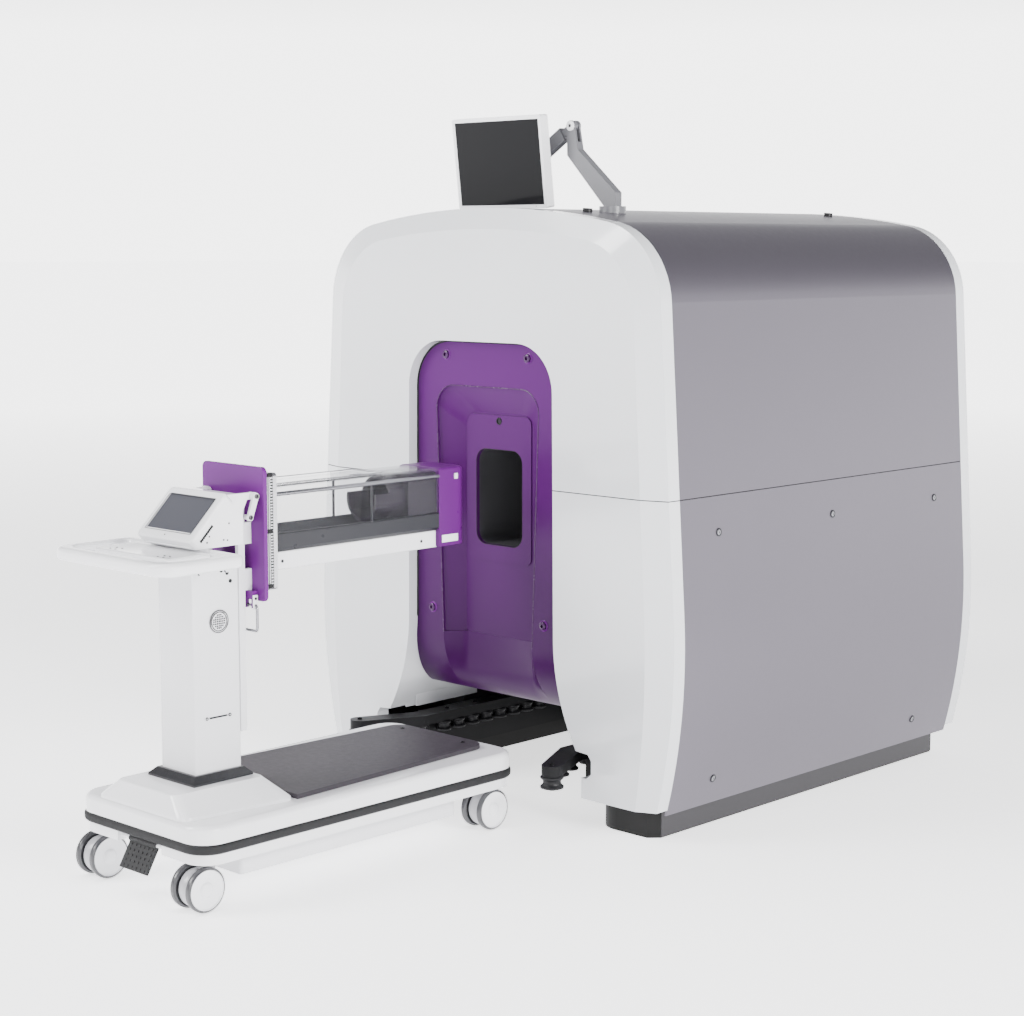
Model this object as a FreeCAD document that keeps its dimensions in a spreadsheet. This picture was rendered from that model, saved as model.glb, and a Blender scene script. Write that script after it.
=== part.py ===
import FreeCAD, Part
import math
import os
import Sketcher

# Small-bore MRI scanner: a magnet unit on a U-shaped plinth, a monitor on a folding arm
# on its roof, and a patient trolley that docks between the legs of the magnet unit.
# Millimetres. +Z up, -Y to the trolley side, +X to the right of a person facing the recess.
# The origin is on the floor under the middle of the plinth's rear cross piece.

doc = FreeCAD.newDocument("mri_scanner")
sheet = doc.addObject("Spreadsheet::Sheet", "Sizes")
V = FreeCAD.Vector

SIZES = {
    # plinth and frame
    "plinth_depth": 1506, "plinth_half": 685, "plinth_height": 88, "plinth_facet": 30,
    "leg_inner": 440, "leg_nose_round": 90, "bay_depth": 960, "strip_thick": 4,
    "pedestal_inner": 400, "pedestal_outer": 500,
    # case outline seen from the front
    "case_top": 1885, "crown_radius": 2800, "shoulder_radius": 255, "case_lean": 3.7,
    "waist_half": 774, "waist_height": 690, "foot_half": 712, "case_foot": 75,
    "case_setback": 20, "shell_depth": 1530, "shell_wall": 6, "seam_height": 1030,
    "seam_gap": 3, "seam_inset": 2.5,
    # front and rear covers
    "ring_depth": 50, "bevel_depth": 28, "cover_wall": 9, "cover_foot": 93,
    "crease_top": 1820, "crease_crown": 2960, "crease_shoulder": 230, "crease_lean": 3.2,
    "crease_waist": 685, "crease_foot": 656, "dish_depth": 38, "dish_rim": 5,
    # opening in the front cover
    "mouth_top": 1471, "mouth_half": 315, "mouth_low_half": 322, "mouth_corner": 150,
    "mouth_bend": 560, "mouth_knee_half": 414, "mouth_knee_height": 244,
    # recess
    "flange_thick": 10, "recess_gap": 1, "bend_height": 520, "bend_radius": 230,
    "bend_angle": 60, "rim_half": 225, "rim_low_half": 198, "rim_top": 1328,
    "rim_corner": 75, "niche_half": 150, "niche_top": 1243, "niche_corner": 50,
    "niche_depth": 60, "niche_wall": 8, "plate_half": 140, "plate_low": 765,
    "plate_top": 1236, "plate_thick": 4, "plate_corner": 25,
    # bore and magnet
    "bore_half": 100, "bore_low": 820, "bore_top": 1125, "bore_corner": 40,
    "bore_depth": 960, "liner_wall": 5, "yoke_half": 500, "yoke_low": 325,
    "yoke_top": 1620, "yoke_wall": 160, "yoke_front": -960, "yoke_depth": 1000,
    "pole_radius": 330, "pole_thick": 150, "coil_radius": 300, "coil_gap": 1,
    # docking rails
    "rail_inner": 306, "rail_outer": 378, "rail_top": 220, "rail_bar": 32,
    "rail_wall": 25, "rail_wall_low": 80, "rail_length": 850, "nose_reach": 180,
    "nose_side": 432, "nose_radius": 32, "roller_radius": 26, "roller_height": 34,
    "roller_pitch": 67, "roller_first": 100, "nose_wheel_radius": 36,
    # monitor and arm
    "arm_side": 267, "arm_back": 270, "base_radius": 42,
    "post_radius": 14, "post_top": 1912, "elbow_side": 102, "elbow_height": 2144,
    "wrist_side": -142, "wrist_height": 1990, "arm_width": 30, "arm_pin": 7,
    "screen_height": 2038, "monitor_half": 198, "monitor_tall": 292, "monitor_thick": 34,
    "monitor_lean": 7, "monitor_rim": 12,
    # trolley deck
    "deck_half": 290, "deck_near": -2618, "deck_length": 1210, "deck_low": 190,
    "deck_top": 240, "deck_corner": 74, "band_proud": 5, "band_tall": 28,
    "skirt_low": 132, "skirt_inset": 8, "notch_half": 100, "notch_deep": 130,
    "keel_half": 200, "keel_low": 55, "keel_near": -2418, "keel_length": 825,
    "mat_thick": 13, "mat_half": 234, "mat_far_half": 195, "mat_near": -2242,
    "foot_top": 298, "foot_near": -2606, "foot_length": 362,
    # column and handle
    "column_half": 78, "column_near": -2473, "column_deep": 160, 
    "collar_proud": 27, "collar_thick": 24, "handle_half": 260, "handle_near": -2705,
    "handle_far": -2428, "handle_low": 915, "handle_top": 952, "handle_bar": 42,
    "handle_corner": 62, "tray_half": 175, "tray_near": -2625, "tray_thick": 14,
    # rear rail of the column, console and shield
    "rail_plate_half": 80, "rail_plate_thick": 14, "rail_plate_low": 420,
    "rail_plate_top": 1056, "rail_plate_near": -2313, "pivot_y": -2280,
    "pivot_height": 1083, "pivot_radius": 5, "ear_radius": 11, "ear_thick": 12,
    "link_thick": 8, "link_gap": 0.5, "shaft_gap": 0.06, "console_half": 105,
    "head_half": 126, "head_tall": 176, "head_thick": 34, "head_tilt": 45,
    "glass_half": 101, "glass_tall": 123, "shield_half": 137, "shield_low": 787,
    "shield_top": 1163, "shield_front": -2267, "shield_thick": 12, "shield_corner": 16,
    "seal_half": 122, "seal_low": 815, "seal_top": 1143, "seal_thick": 47,
    # cradle
    "beam_half": 72, "beam_low": 858, "beam_tall": 54, "cradle_length": 660,
    "tub_half": 88, "tub_tall": 52, "tub_wall": 6, "mattress_half": 70,
    "mattress_thick": 24, "mattress_length": 400, "capsule_half": 88,
    "capsule_top": 1100, "capsule_wall": 4, "capsule_corner": 22, "lid_half": 60,
    "cap_length": 122, "cap_half": 88, "cap_low": 862, "cap_top": 1101, "cap_round": 42,
    "coil_length": 118, "coil_wall": 9,
    # latch loop and pedal
    "loop_side": 86, "loop_half": 30, "loop_height": 776, "loop_tall": 72, "loop_wire": 4,
    "pedal_half": 60, "pedal_long": 84, "pedal_thick": 10, "pedal_tilt": 60,
    # casters
    "caster_side": 220, "caster_inset": 72, "caster_far_inset": 45, "wheel_radius": 62.5,
    "wheel_wide": 22, "wheel_apart": 66, "trail": 35, "axle_radius": 8,
    # fasteners
    "screw_radius": 11, "dome_radius": 13, "roof_cap_radius": 15,
}

for row, (name, value) in enumerate(SIZES.items(), start=1):
    sheet.set("A%d" % row, name)
    sheet.set("B%d" % row, str(value))
    sheet.setAlias("B%d" % row, name)
doc.recompute()


class Size:
    """A number from the sheet together with the formula that a property is bound to."""

    def __init__(self, value, formula):
        self.value = float(value)
        self.formula = formula

    def __add__(self, other):
        other = as_size(other)
        return Size(self.value + other.value, "(%s + %s)" % (self.formula, other.formula))

    def __sub__(self, other):
        other = as_size(other)
        return Size(self.value - other.value, "(%s - %s)" % (self.formula, other.formula))

    def __mul__(self, other):
        other = as_size(other)
        return Size(self.value * other.value, "(%s * %s)" % (self.formula, other.formula))

    def __truediv__(self, other):
        other = as_size(other)
        return Size(self.value / other.value, "(%s / %s)" % (self.formula, other.formula))

    def __radd__(self, other):
        return as_size(other) + self

    def __rsub__(self, other):
        return as_size(other) - self

    def __rmul__(self, other):
        return as_size(other) * self

    def __neg__(self):
        return as_size(-1) * self

    def __float__(self):
        return self.value


def as_size(number):
    if isinstance(number, Size):
        return number
    return Size(number, "(%r)" % float(number))


class SheetReader:
    """Gives each named cell of the sheet as a Size."""

    def __getattr__(self, name):
        return Size(sheet.get(name), "Sizes." + name)


S = SheetReader()
pieces = []


def bind(thing, prop, amount):
    thing.setExpression(prop, as_size(amount).formula)


def keep(thing, label):
    """Names a finished sub-part and lists it for export."""
    thing.Label = label
    pieces.append(thing)
    return thing


def place(thing, x=0, y=0, z=0):
    bind(thing, "Placement.Base.x", x)
    bind(thing, "Placement.Base.y", y)
    bind(thing, "Placement.Base.z", z)


def box(x0, x1, y0, y1, z0, z1):
    thing = doc.addObject("Part::Box", "Block")
    bind(thing, "Length", as_size(x1) - x0)
    bind(thing, "Width", as_size(y1) - y0)
    bind(thing, "Height", as_size(z1) - z0)
    place(thing, x0, y0, z0)
    return thing


TURNS = {"x": FreeCAD.Rotation(V(0, 1, 0), 90), "y": FreeCAD.Rotation(V(1, 0, 0), -90),
         "z": FreeCAD.Rotation()}


def rod(axis, radius, x, y, z, length):
    """Cylinder that starts at a point and runs along +X, +Y or +Z."""
    thing = doc.addObject("Part::Cylinder", "Rod")
    thing.Placement.Rotation = TURNS[axis]
    bind(thing, "Radius", radius)
    bind(thing, "Height", length)
    place(thing, x, y, z)
    return thing


def cut(base, tool):
    thing = doc.addObject("Part::Cut", "Cut")
    thing.Base = base
    thing.Tool = tool
    return thing


def fuse(*things):
    if len(things) == 1:
        return things[0]
    thing = doc.addObject("Part::MultiFuse", "Fuse")
    thing.Shapes = list(things)
    return thing


def group(*things):
    """Separate solids of one sub-part, such as identical fasteners."""
    thing = doc.addObject("Part::Compound", "Group")
    thing.Links = list(things)
    return thing


def made(shape, label="Formed"):
    """A shape that the sketch features do not fit, made with Part's own functions."""
    thing = doc.addObject("Part::Feature", "Formed")
    thing.Shape = shape
    thing.Label = label
    return thing


def edges_where(shape, test):
    return ["Edge%d" % (n + 1) for n, edge in enumerate(shape.Edges) if test(edge)]


def span(edge, axis):
    extent = edge.BoundBox
    return ((extent.XMin, extent.XMax), (extent.YMin, extent.YMax),
            (extent.ZMin, extent.ZMax))[axis]


def flat_at(axis, level):
    """Test for edges that lie in one plane across an axis."""
    level = float(level)
    return lambda edge: max(abs(end - level) for end in span(edge, axis)) < 0.01


def along(axis, spots=None):
    """Test for straight edges along an axis, at the given places across it if any."""
    def test(edge):
        ends = [span(edge, other) for other in range(3) if other != axis]
        if max(high - low for low, high in ends) > 0.01:
            return False
        if spots is None:
            return True
        here = [low for low, high in ends]
        return any(abs(here[0] - float(a)) + abs(here[1] - float(b)) < 0.02
                   for a, b in spots)
    return test


def soften(thing, radius, test):
    """Rounds the chosen edges of a body or of a plain solid."""
    doc.recompute()
    if thing.TypeId == "PartDesign::Body":
        tip = thing.Tip
        rounding = thing.newObject("PartDesign::Fillet", "Round")
        rounding.Base = (tip, edges_where(tip.Shape, test))
        bind(rounding, "Radius", radius)
        doc.recompute()
        return thing
    rounding = doc.addObject("Part::Fillet", "Round")
    rounding.Base = thing
    names = edges_where(thing.Shape, test)
    size = float(radius)
    rounding.Edges = [(int(name[4:]), size, size) for name in names]
    doc.recompute()
    return rounding


PLANES = {"XY": ("XY_Plane", 2), "XZ": ("XZ_Plane", 1), "YZ": ("YZ_Plane", 0)}


def draw(body, plane, outline, level):
    """Sketch with each corner held to the sheet, on an origin plane moved to a level."""
    sketch = body.newObject("Sketcher::SketchObject", "Outline")
    role = PLANES[plane][0]
    origin = [f for f in body.Origin.OriginFeatures if f.Role == role][0]
    sketch.AttachmentSupport = (origin, [""])
    sketch.MapMode = "FlatFace"
    offset = as_size(level)
    bind(sketch, "AttachmentOffset.Base.z", -offset if plane == "XZ" else offset)
    corners = [V(float(a), float(b), 0) for a, b in outline]
    count = len(corners)
    for n in range(count):
        sketch.addGeometry(Part.LineSegment(corners[n], corners[(n + 1) % count]), False)
    for n in range(count):
        sketch.addConstraint(Sketcher.Constraint("Coincident", n, 2, (n + 1) % count, 1))
    for n, corner in enumerate(outline):
        for kind, amount in zip(("DistanceX", "DistanceY"), corner):
            rule = Sketcher.Constraint(kind, -1, 1, n, 1, float(amount))
            number = sketch.addConstraint(rule)
            if isinstance(amount, Size):
                sketch.setExpression("Constraints[%d]" % number, amount.formula)
    return sketch


def prism(plane, outline, level, length, rounds=()):
    """Body padded along the positive normal axis, with its upright corners rounded."""
    body = doc.addObject("PartDesign::Body", "Body")
    sketch = draw(body, plane, outline, level)
    pad = body.newObject("PartDesign::Pad", "Pad")
    pad.Profile = sketch
    bind(pad, "Length", length)
    pad.Reversed = plane == "XZ"
    axis = PLANES[plane][1]
    for radius, corners in rounds:
        soften(body, radius, along(axis, [outline[n] for n in corners]))
    return body


def slab(x0, x1, y0, y1):
    return [(x0, y0), (x1, y0), (x1, y1), (x0, y1)]


def turned(outline, axis_x, axis_y, level=0):
    """Body turned about an upright axis: the outline is radius against height."""
    body = doc.addObject("PartDesign::Body", "Body")
    sketch = draw(body, "XZ", outline, level)
    turn = body.newObject("PartDesign::Revolution", "Turn")
    turn.Profile = sketch
    turn.ReferenceAxis = (sketch, ["V_Axis"])
    turn.Angle = 360
    place(body, axis_x, axis_y, 0)
    return body


def tilt(thing, angle, x, y, z):
    """Turns a sub-part about X by an angle and moves its origin to a point."""
    bind(thing, "Placement.Rotation.Angle", angle)
    thing.Placement.Rotation = FreeCAD.Rotation(V(1, 0, 0), float(angle))
    place(thing, x, y, z)


def line(a, b):
    return Part.LineSegment(a, b).toShape()


def arc(a, b, c):
    return Part.Arc(a, b, c).toShape()


def upright(x, z, y):
    return V(float(x), float(y), float(z))


# ---------------------------------------------------------------- case outline

class CaseOutline:
    """Arched outline of the case: curved lower side, leaning side, shoulder and crown."""

    def __init__(self, top, crown, shoulder, lean, waist_half, waist_z, foot_half, foot_z):
        slope = math.radians(float(lean))
        self.out = (math.cos(slope), math.sin(slope))
        self.top, self.crown, self.shoulder = float(top), float(crown), float(shoulder)
        self.waist = (float(waist_half), float(waist_z))
        dx = float(foot_half) - self.waist[0]
        dz = float(foot_z) - self.waist[1]
        reach = dx * self.out[0] + dz * self.out[1]
        self.side = -(dx * dx + dz * dz) / (2 * reach)
        self.side_mid = (self.waist[0] - self.side * self.out[0],
                         self.waist[1] - self.side * self.out[1])
        self.crown_mid = (0.0, self.top - self.crown)
        self.find_shoulder()

    def find_shoulder(self):
        nx, nz = self.out
        level = nx * self.waist[0] + nz * self.waist[1] - self.shoulder
        ax, az = level * nx, level * nz - self.crown_mid[1]
        half_b = -ax * nz + az * nx
        rest = ax * ax + az * az - (self.crown - self.shoulder) ** 2
        along_side = -half_b + math.sqrt(half_b * half_b - rest)
        self.shoulder_mid = (level * nx - along_side * nz, level * nz + along_side * nx)

    def wire(self, inset, bottom, y):
        inset, bottom, y = float(inset), float(bottom), float(y)
        nx, nz = self.out
        side = self.side - inset
        rise = bottom - self.side_mid[1]
        foot = (self.side_mid[0] + math.sqrt(side * side - rise * rise), bottom)
        waist = (self.side_mid[0] + side * nx, self.side_mid[1] + side * nz)
        half_angle = (math.atan2(rise, foot[0] - self.side_mid[0]) + math.atan2(nz, nx)) / 2
        side_way = (self.side_mid[0] + side * math.cos(half_angle),
                    self.side_mid[1] + side * math.sin(half_angle))
        sx, sz = self.shoulder_mid
        small = self.shoulder - inset
        low = (sx + small * nx, sz + small * nz)
        kx, kz = sx - self.crown_mid[0], sz - self.crown_mid[1]
        far = math.hypot(kx, kz)
        kx, kz = kx / far, kz / far
        high = (sx + small * kx, sz + small * kz)
        turn = (math.atan2(nz, nx) + math.atan2(kz, kx)) / 2
        way = (sx + small * math.cos(turn), sz + small * math.sin(turn))
        p = [upright(x, z, y) for x, z in (foot, side_way, waist, low, way, high)]
        q = [upright(-x, z, y) for x, z in (foot, side_way, waist, low, way, high)]
        crown = upright(0, self.top - inset, y)
        return Part.Wire([arc(p[0], p[1], p[2]), line(p[2], p[3]), arc(p[3], p[4], p[5]),
                          arc(p[5], crown, q[5]), arc(q[5], q[4], q[3]), line(q[3], q[2]),
                          arc(q[2], q[1], q[0]), line(q[0], p[0])])

    def block(self, inset, bottom, y0, y1):
        face = Part.Face(self.wire(inset, bottom, y0))
        return face.extrude(V(0, float(y1) - float(y0), 0))


case = CaseOutline(S.case_top, S.crown_radius, S.shoulder_radius, S.case_lean,
                   S.waist_half, S.waist_height, S.foot_half, S.case_foot)
crease = CaseOutline(S.crease_top, S.crease_crown, S.crease_shoulder, S.crease_lean,
                     S.crease_waist, S.waist_height, S.crease_foot, S.cover_foot)
dish_half = S.mouth_half + 45
dish = CaseOutline(S.mouth_top + 40, S.crease_crown / 2, S.mouth_corner + 20, 0.5,
                   dish_half, S.waist_height, dish_half + 6, S.cover_foot)
dish_mid = CaseOutline(S.mouth_top + 190, S.crease_crown * 0.7, S.mouth_corner + 50, 1.6,
                       (dish_half + S.crease_waist) / 2, S.waist_height,
                       (dish_half + S.crease_foot) / 2, S.cover_foot)

plinth_front = -(S.bay_depth + S.plinth_depth) / 2
plinth_rear = plinth_front + S.plinth_depth
shell_front = plinth_front + S.case_setback
shell_rear = shell_front + S.shell_depth
ring_front = shell_front - S.ring_depth
crease_front = ring_front - S.bevel_depth
face_y = crease_front + S.dish_depth          # front of the recess flange
niche_y = face_y + S.niche_depth              # front of the niche back
plate_y = niche_y - S.plate_thick             # front of the raised window plate


def slab_between(z0, z1):
    return Part.makeBox(4000, 4000, float(z1) - float(z0), V(-2000, -2000, float(z0)))


seam_low = S.seam_height - S.seam_gap / 2
seam_high = S.seam_height + S.seam_gap / 2


def mouth_wire(grow, y):
    """Opening for the recess, which widens into the docking bay below."""
    grow = float(grow)
    half, low_half = float(S.mouth_half) + grow, float(S.mouth_low_half) + grow
    top, bend = float(S.mouth_top) + grow, float(S.mouth_bend)
    knee, knee_z = float(S.mouth_knee_half) + grow, float(S.mouth_knee_height)
    leg = float(S.leg_inner) + grow
    corner = float(S.mouth_corner) + grow
    diag = corner * (1 - math.sqrt(0.5))
    notch_z = knee_z * 2 / 3
    bend_way = (low_half + (knee - low_half) * 0.32, knee_z + (bend - knee_z) * 0.44)
    right = [(half - corner, top), (half - diag, top - diag), (half, top - corner),
             (low_half, bend), bend_way, (knee, knee_z), (leg, notch_z), (leg, -20.0)]
    p = [upright(x, z, y) for x, z in right]
    q = [upright(-x, z, y) for x, z in right]
    sides = []
    for s in (p, q):
        sides.append([arc(s[0], s[1], s[2]), line(s[2], s[3]), arc(s[3], s[4], s[5]),
                      line(s[5], s[6]), line(s[6], s[7])])
    edges = sides[0] + sides[1] + [line(p[0], q[0]), line(p[7], q[7])]
    return Part.Wire(Part.sortEdges(edges)[0])


def mouth_block(grow, y0, y1):
    return Part.Face(mouth_wire(grow, y0)).extrude(V(0, float(y1) - float(y0), 0))


def rail_notch(side):
    low, high = float(S.rail_top) - 62, float(S.rail_top) + 20
    inner, outer = float(S.leg_inner) - 50, float(S.leg_inner) + 40
    shape = [(inner, low), (outer - 18, low), (outer, low + 16), (outer, high - 24),
             (outer - 14, high - 6), (inner, high)]
    points = [upright(side * x, z, float(crease_front) - 10) for x, z in shape]
    return Part.Face(Part.makePolygon(points + points[:1])).extrude(V(0, 110, 0))


def front_cover(inset, z0, z1):
    """Front moulding between two levels: ring band, bevel to the crease, dished face and
    the walls round the mouth."""
    foot = S.cover_foot + inset
    level = slab_between(z0, z1)
    band = case.block(inset, foot, ring_front, shell_front).common(level)
    bevel = Part.makeLoft([case.wire(inset, foot, ring_front),
                           crease.wire(inset, foot, crease_front + inset)], True, True)
    under = float(foot) - 20
    depth = float(S.dish_depth)
    start = float(crease_front) + inset - 1
    hollow = Part.makeLoft([crease.wire(S.dish_rim + inset, under, start),
                            dish_mid.wire(0, under, start + 1 + depth * 0.72),
                            dish.wire(0, under, start + 1 + depth)], True, False)
    wall = float(S.cover_wall)
    inside = case.block(wall, S.cover_foot + wall, float(face_y) + 12,
                        float(shell_front) + 1).common(level)
    inside = inside.cut(mouth_block(wall, float(crease_front) - 50, float(shell_front) + 50))
    mouth = mouth_block(inset, float(crease_front) - 50, float(shell_front) + 50)
    notches = [rail_notch(side) for side in (1, -1)]
    body = band.fuse(bevel.common(level))
    return body.cut([hollow.common(level), inside, mouth] + notches)


keep(made(front_cover(0.0, seam_high, 2200)), "front_cover_upper")

# white walls of the docking bay behind the legs, above the docking rails
bay_wall_rear = shell_front + 250
lining = mouth_block(S.cover_wall, shell_front, bay_wall_rear)
lining = lining.cut(mouth_block(0, float(shell_front) - 5, float(bay_wall_rear) + 5))
lining = lining.common(slab_between(S.rail_top + 10, S.mouth_bend))
lower = front_cover(0.0, 0, seam_low).fuse(lining)
keep(made(lower.removeSplitter()), "front_cover_lower")

# roof and upper side shell, and the two lower side panels
skin = case.block(0, S.case_foot, shell_front, shell_rear)
skin = skin.cut(case.block(S.shell_wall, float(S.case_foot) - 5, float(shell_front) - 5,
                           float(shell_rear) + 5))
keep(made(skin.common(slab_between(seam_high, 2200))), "top_shell")
low_skin = skin.common(slab_between(0, seam_low))
halves = {"side_panel_right": 1, "side_panel_left": -1}
for label, side in halves.items():
    half_space = Part.makeBox(2000, 4000, 4000, V(0 if side > 0 else -2000, -2000, -100))
    keep(made(low_skin.common(half_space)), label)


def rear_cover(inset):
    """Rear moulding: ring band and bevel round a flat back, hollow inside."""
    foot = S.cover_foot + inset
    rear_band = shell_rear + S.ring_depth
    back = float(rear_band + S.bevel_depth) - inset
    body = case.block(inset, foot, shell_rear, rear_band)
    body = body.fuse(Part.makeLoft([case.wire(inset, foot, rear_band),
                                    crease.wire(inset, foot, back)], True, True))
    inside = case.block(float(S.cover_wall), S.cover_foot + S.cover_wall,
                        float(shell_rear) - 1, float(rear_band) - 4)
    return body.cut(inside)


back_cover = rear_cover(0.0)
vent_y = float(shell_rear + S.ring_depth)
for n in range(7):
    height = float(S.waist_height) - 180 + 34 * n
    slot = Part.makeBox(520, 120, 12, V(-260, vent_y - 60, height))
    back_cover = back_cover.cut(slot)
groove = Part.makeBox(1600, 3, float(S.seam_gap), V(-800, 0, float(seam_low)))
groove.translate(V(0, float(shell_rear + S.ring_depth + S.bevel_depth) - 3, 0))
keep(made(back_cover.cut(groove)), "rear_cover")

# dark gasket in the seam all round, set back a little from the outside
seam = slab_between(seam_low, seam_high)
gasket = front_cover(float(S.seam_inset), seam_low, seam_high)
ring = case.block(S.seam_inset, S.case_foot, shell_front, shell_rear)
ring = ring.cut(case.block(S.seam_inset + 14, float(S.case_foot) - 5,
                           float(shell_front) - 5, float(shell_rear) + 5))
gasket = gasket.fuse(ring.common(seam)).removeSplitter()
keep(made(gasket), "seam_gasket")

# ---------------------------------------------------------------- recess

bend_axis_y = face_y + S.bend_radius


def bend_down(face):
    """Turns a level outline about the bend axis, down and to the rear."""
    centre = V(0, float(bend_axis_y), float(S.bend_height))
    return face.revolve(centre, V(1, 0, 0), float(S.bend_angle))


def level_face(points):
    corners = [V(float(x), float(y), float(S.bend_height)) for x, y in points]
    return Part.Face(Part.makePolygon(corners + corners[:1]))


def arch_wire(half, low_half, top, corner, bottom, y):
    """Door-shaped outline with rounded upper corners."""
    half, low_half, top = float(half), float(low_half), float(top)
    corner, bottom = float(corner), float(bottom)
    diag = corner * (1 - math.sqrt(0.5))
    right = [(half - corner, top), (half - diag, top - diag), (half, top - corner),
             (low_half, bottom)]
    p = [upright(x, z, y) for x, z in right]
    q = [upright(-x, z, y) for x, z in right]
    return Part.Wire([line(q[0], p[0]), arc(p[0], p[1], p[2]), line(p[2], p[3]),
                      line(p[3], q[3]), line(q[3], q[2]), arc(q[2], q[1], q[0])])


def arch_block(half, low_half, top, corner, bottom, y0, y1):
    wire = arch_wire(half, low_half, top, corner, bottom, y0)
    return Part.Face(wire).extrude(V(0, float(y1) - float(y0), 0))


flange_back = face_y + S.flange_thick
flange = mouth_block(-S.recess_gap, face_y, flange_back)
flange = flange.common(slab_between(S.bend_height, 2000))
flange = flange.cut(arch_block(S.rim_half, S.rim_low_half, S.rim_top, S.rim_corner,
                               float(S.bend_height) - 5, float(face_y) - 5,
                               float(flange_back) + 5))
mouth_low = mouth_block(-S.recess_gap, float(face_y) - 50, float(face_y) + 400)
for side in (1, -1):
    strip = level_face([(side * S.rim_low_half, face_y), (side * 430, face_y),
                        (side * 430, flange_back), (side * S.rim_low_half, flange_back)])
    flange = flange.fuse(bend_down(strip).common(mouth_low))
keep(made(flange.removeSplitter()), "recess_surround")

niche_back = niche_y + S.niche_wall
niche = arch_block(S.rim_half + S.niche_wall, S.rim_low_half + S.niche_wall,
                   S.rim_top + S.niche_wall, S.rim_corner + S.niche_wall,
                   S.bend_height, flange_back, niche_back)
scoop = Part.makeLoft([arch_wire(S.rim_half, S.rim_low_half, S.rim_top, S.rim_corner,
                                 S.bend_height, flange_back),
                       arch_wire(S.niche_half, S.niche_half, S.niche_top,
                                 S.niche_corner, S.bend_height, niche_y)], True, True)
niche = niche.cut(scoop)
niche_steps = [(S.rim_low_half + S.niche_wall, flange_back), (S.rim_low_half, flange_back),
               (S.niche_half, niche_y), (-S.niche_half, niche_y),
               (-S.rim_low_half, flange_back),
               (-S.rim_low_half - S.niche_wall, flange_back),
               (-S.rim_low_half - S.niche_wall, niche_back),
               (S.rim_low_half + S.niche_wall, niche_back)]
niche = niche.fuse(bend_down(level_face(niche_steps)))


def rounded_block(half, low, top, corner, y0, y1):
    """Upright rectangle with four rounded corners, extruded along Y."""
    height = float(top) - float(low)
    block = Part.makeBox(2 * float(half), float(y1) - float(y0), height,
                         V(-float(half), float(y0), float(low)))
    return block.makeFillet(float(corner), [e for e in block.Edges if along(1)(e)])


plate = rounded_block(S.plate_half, S.plate_low, S.plate_top, S.plate_corner,
                      plate_y, niche_y)
window = rounded_block(S.bore_half, S.bore_low, S.bore_top, S.bore_corner,
                       float(plate_y) - 20, float(niche_back) + 20)
lens_z = S.niche_top - 26
lens_hole = Part.makeCylinder(8, 60, V(0, float(plate_y) - 20, float(lens_z)), V(0, 1, 0))
niche = niche.fuse(plate).cut(window).cut(lens_hole)
keep(made(niche.removeSplitter()), "recess_niche")
keep(rod("y", 7.98, 0, plate_y + 1, lens_z, 9), "niche_lens")

# dome screws of the recess and recessed screws of the side panels
screws = []
for side in (1, -1):
    for half, height in ((S.rim_low_half - 19, S.rim_top + 97), (S.rim_half + 22, 598)):
        ball = Part.makeSphere(float(S.dome_radius), V(0, 0, 0))
        cap = ball.common(Part.makeBox(60, 8, 60, V(-30, -float(S.dome_radius), -30)))
        cap.translate(V(side * float(half), float(face_y) + float(S.dome_radius) - 8, float(height)))
        screws.append(made(cap))
    spots = ((197, 920), (782, 920), (1375, 920), (218, 157), (1314, 157))
    for back, z in spots:
        y = float(plinth_front) + back
        stud = Part.makeCylinder(float(S.screw_radius), 40,
                                 V(side * 820, y, z), V(-side, 0, 0))
        grown = case.block(-3, S.case_foot, y - 30, y + 30)
        stud = stud.common(Part.makeCylinder(float(S.screw_radius), 200,
                                             V(side * 820, y, z), V(-side, 0, 0)))
        stud = Part.makeCylinder(float(S.screw_radius), 200, V(side * 820, y, z),
                                 V(-side, 0, 0))
        stud = stud.common(grown).cut(case.block(0, S.case_foot, y - 30, y + 30))
        screws.append(made(stud))
keep(group(*screws), "case_screws")

caps = []
for side in (1, -1):
    for y in (float(shell_front) + 130, float(shell_rear) - 130):
        stub = Part.makeCylinder(float(S.roof_cap_radius), 120,
                                 V(side * 270, y, float(S.case_top) - 120))
        stub = stub.common(case.block(-11, S.case_foot, y - 40, y + 40))
        stub = stub.cut(case.block(0, S.case_foot, y - 40, y + 40))
        caps.append(made(stub))
keep(group(*caps), "roof_caps")

# ---------------------------------------------------------------- frame and magnet

u_outline = [(S.plinth_half, plinth_rear), (S.plinth_half, plinth_front + S.plinth_facet),
             (S.plinth_half - S.plinth_facet, plinth_front), (S.leg_inner, plinth_front),
             (S.leg_inner, plinth_front + S.bay_depth),
             (-S.leg_inner, plinth_front + S.bay_depth), (-S.leg_inner, plinth_front),
             (-S.plinth_half + S.plinth_facet, plinth_front),
             (-S.plinth_half, plinth_front + S.plinth_facet), (-S.plinth_half, plinth_rear)]
frame = prism("XY", u_outline, 0, S.plinth_height, [(S.leg_nose_round, (3, 6))])
pedestals = []
yoke_rear = S.yoke_front + S.yoke_depth
for side in (1, -1):
    x0 = S.pedestal_inner if side > 0 else -S.pedestal_outer
    x1 = S.pedestal_outer if side > 0 else -S.pedestal_inner
    pedestals.append(box(x0, x1, S.yoke_front, yoke_rear, S.plinth_height, S.yoke_low))
    pedestals.append(box(x0, x1, S.yoke_front, yoke_rear, 60, S.plinth_height))

# brackets on the frame that carry the side panels, shaped to the panels' inner faces
inner_case = case.block(S.shell_wall + 0.2, S.case_foot, shell_front, shell_rear)
brackets = []
for side in (1, -1):
    for back in (200, 700, 1200):
        edge = 640 if side > 0 else -790
        low_block = Part.makeBox(150, 60, 70, V(edge, float(shell_front) + back,
                                                float(S.plinth_height)))
        brackets.append(made(low_block.common(inner_case)))
keep(fuse(frame, *pedestals, *brackets), "base_frame")

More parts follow.
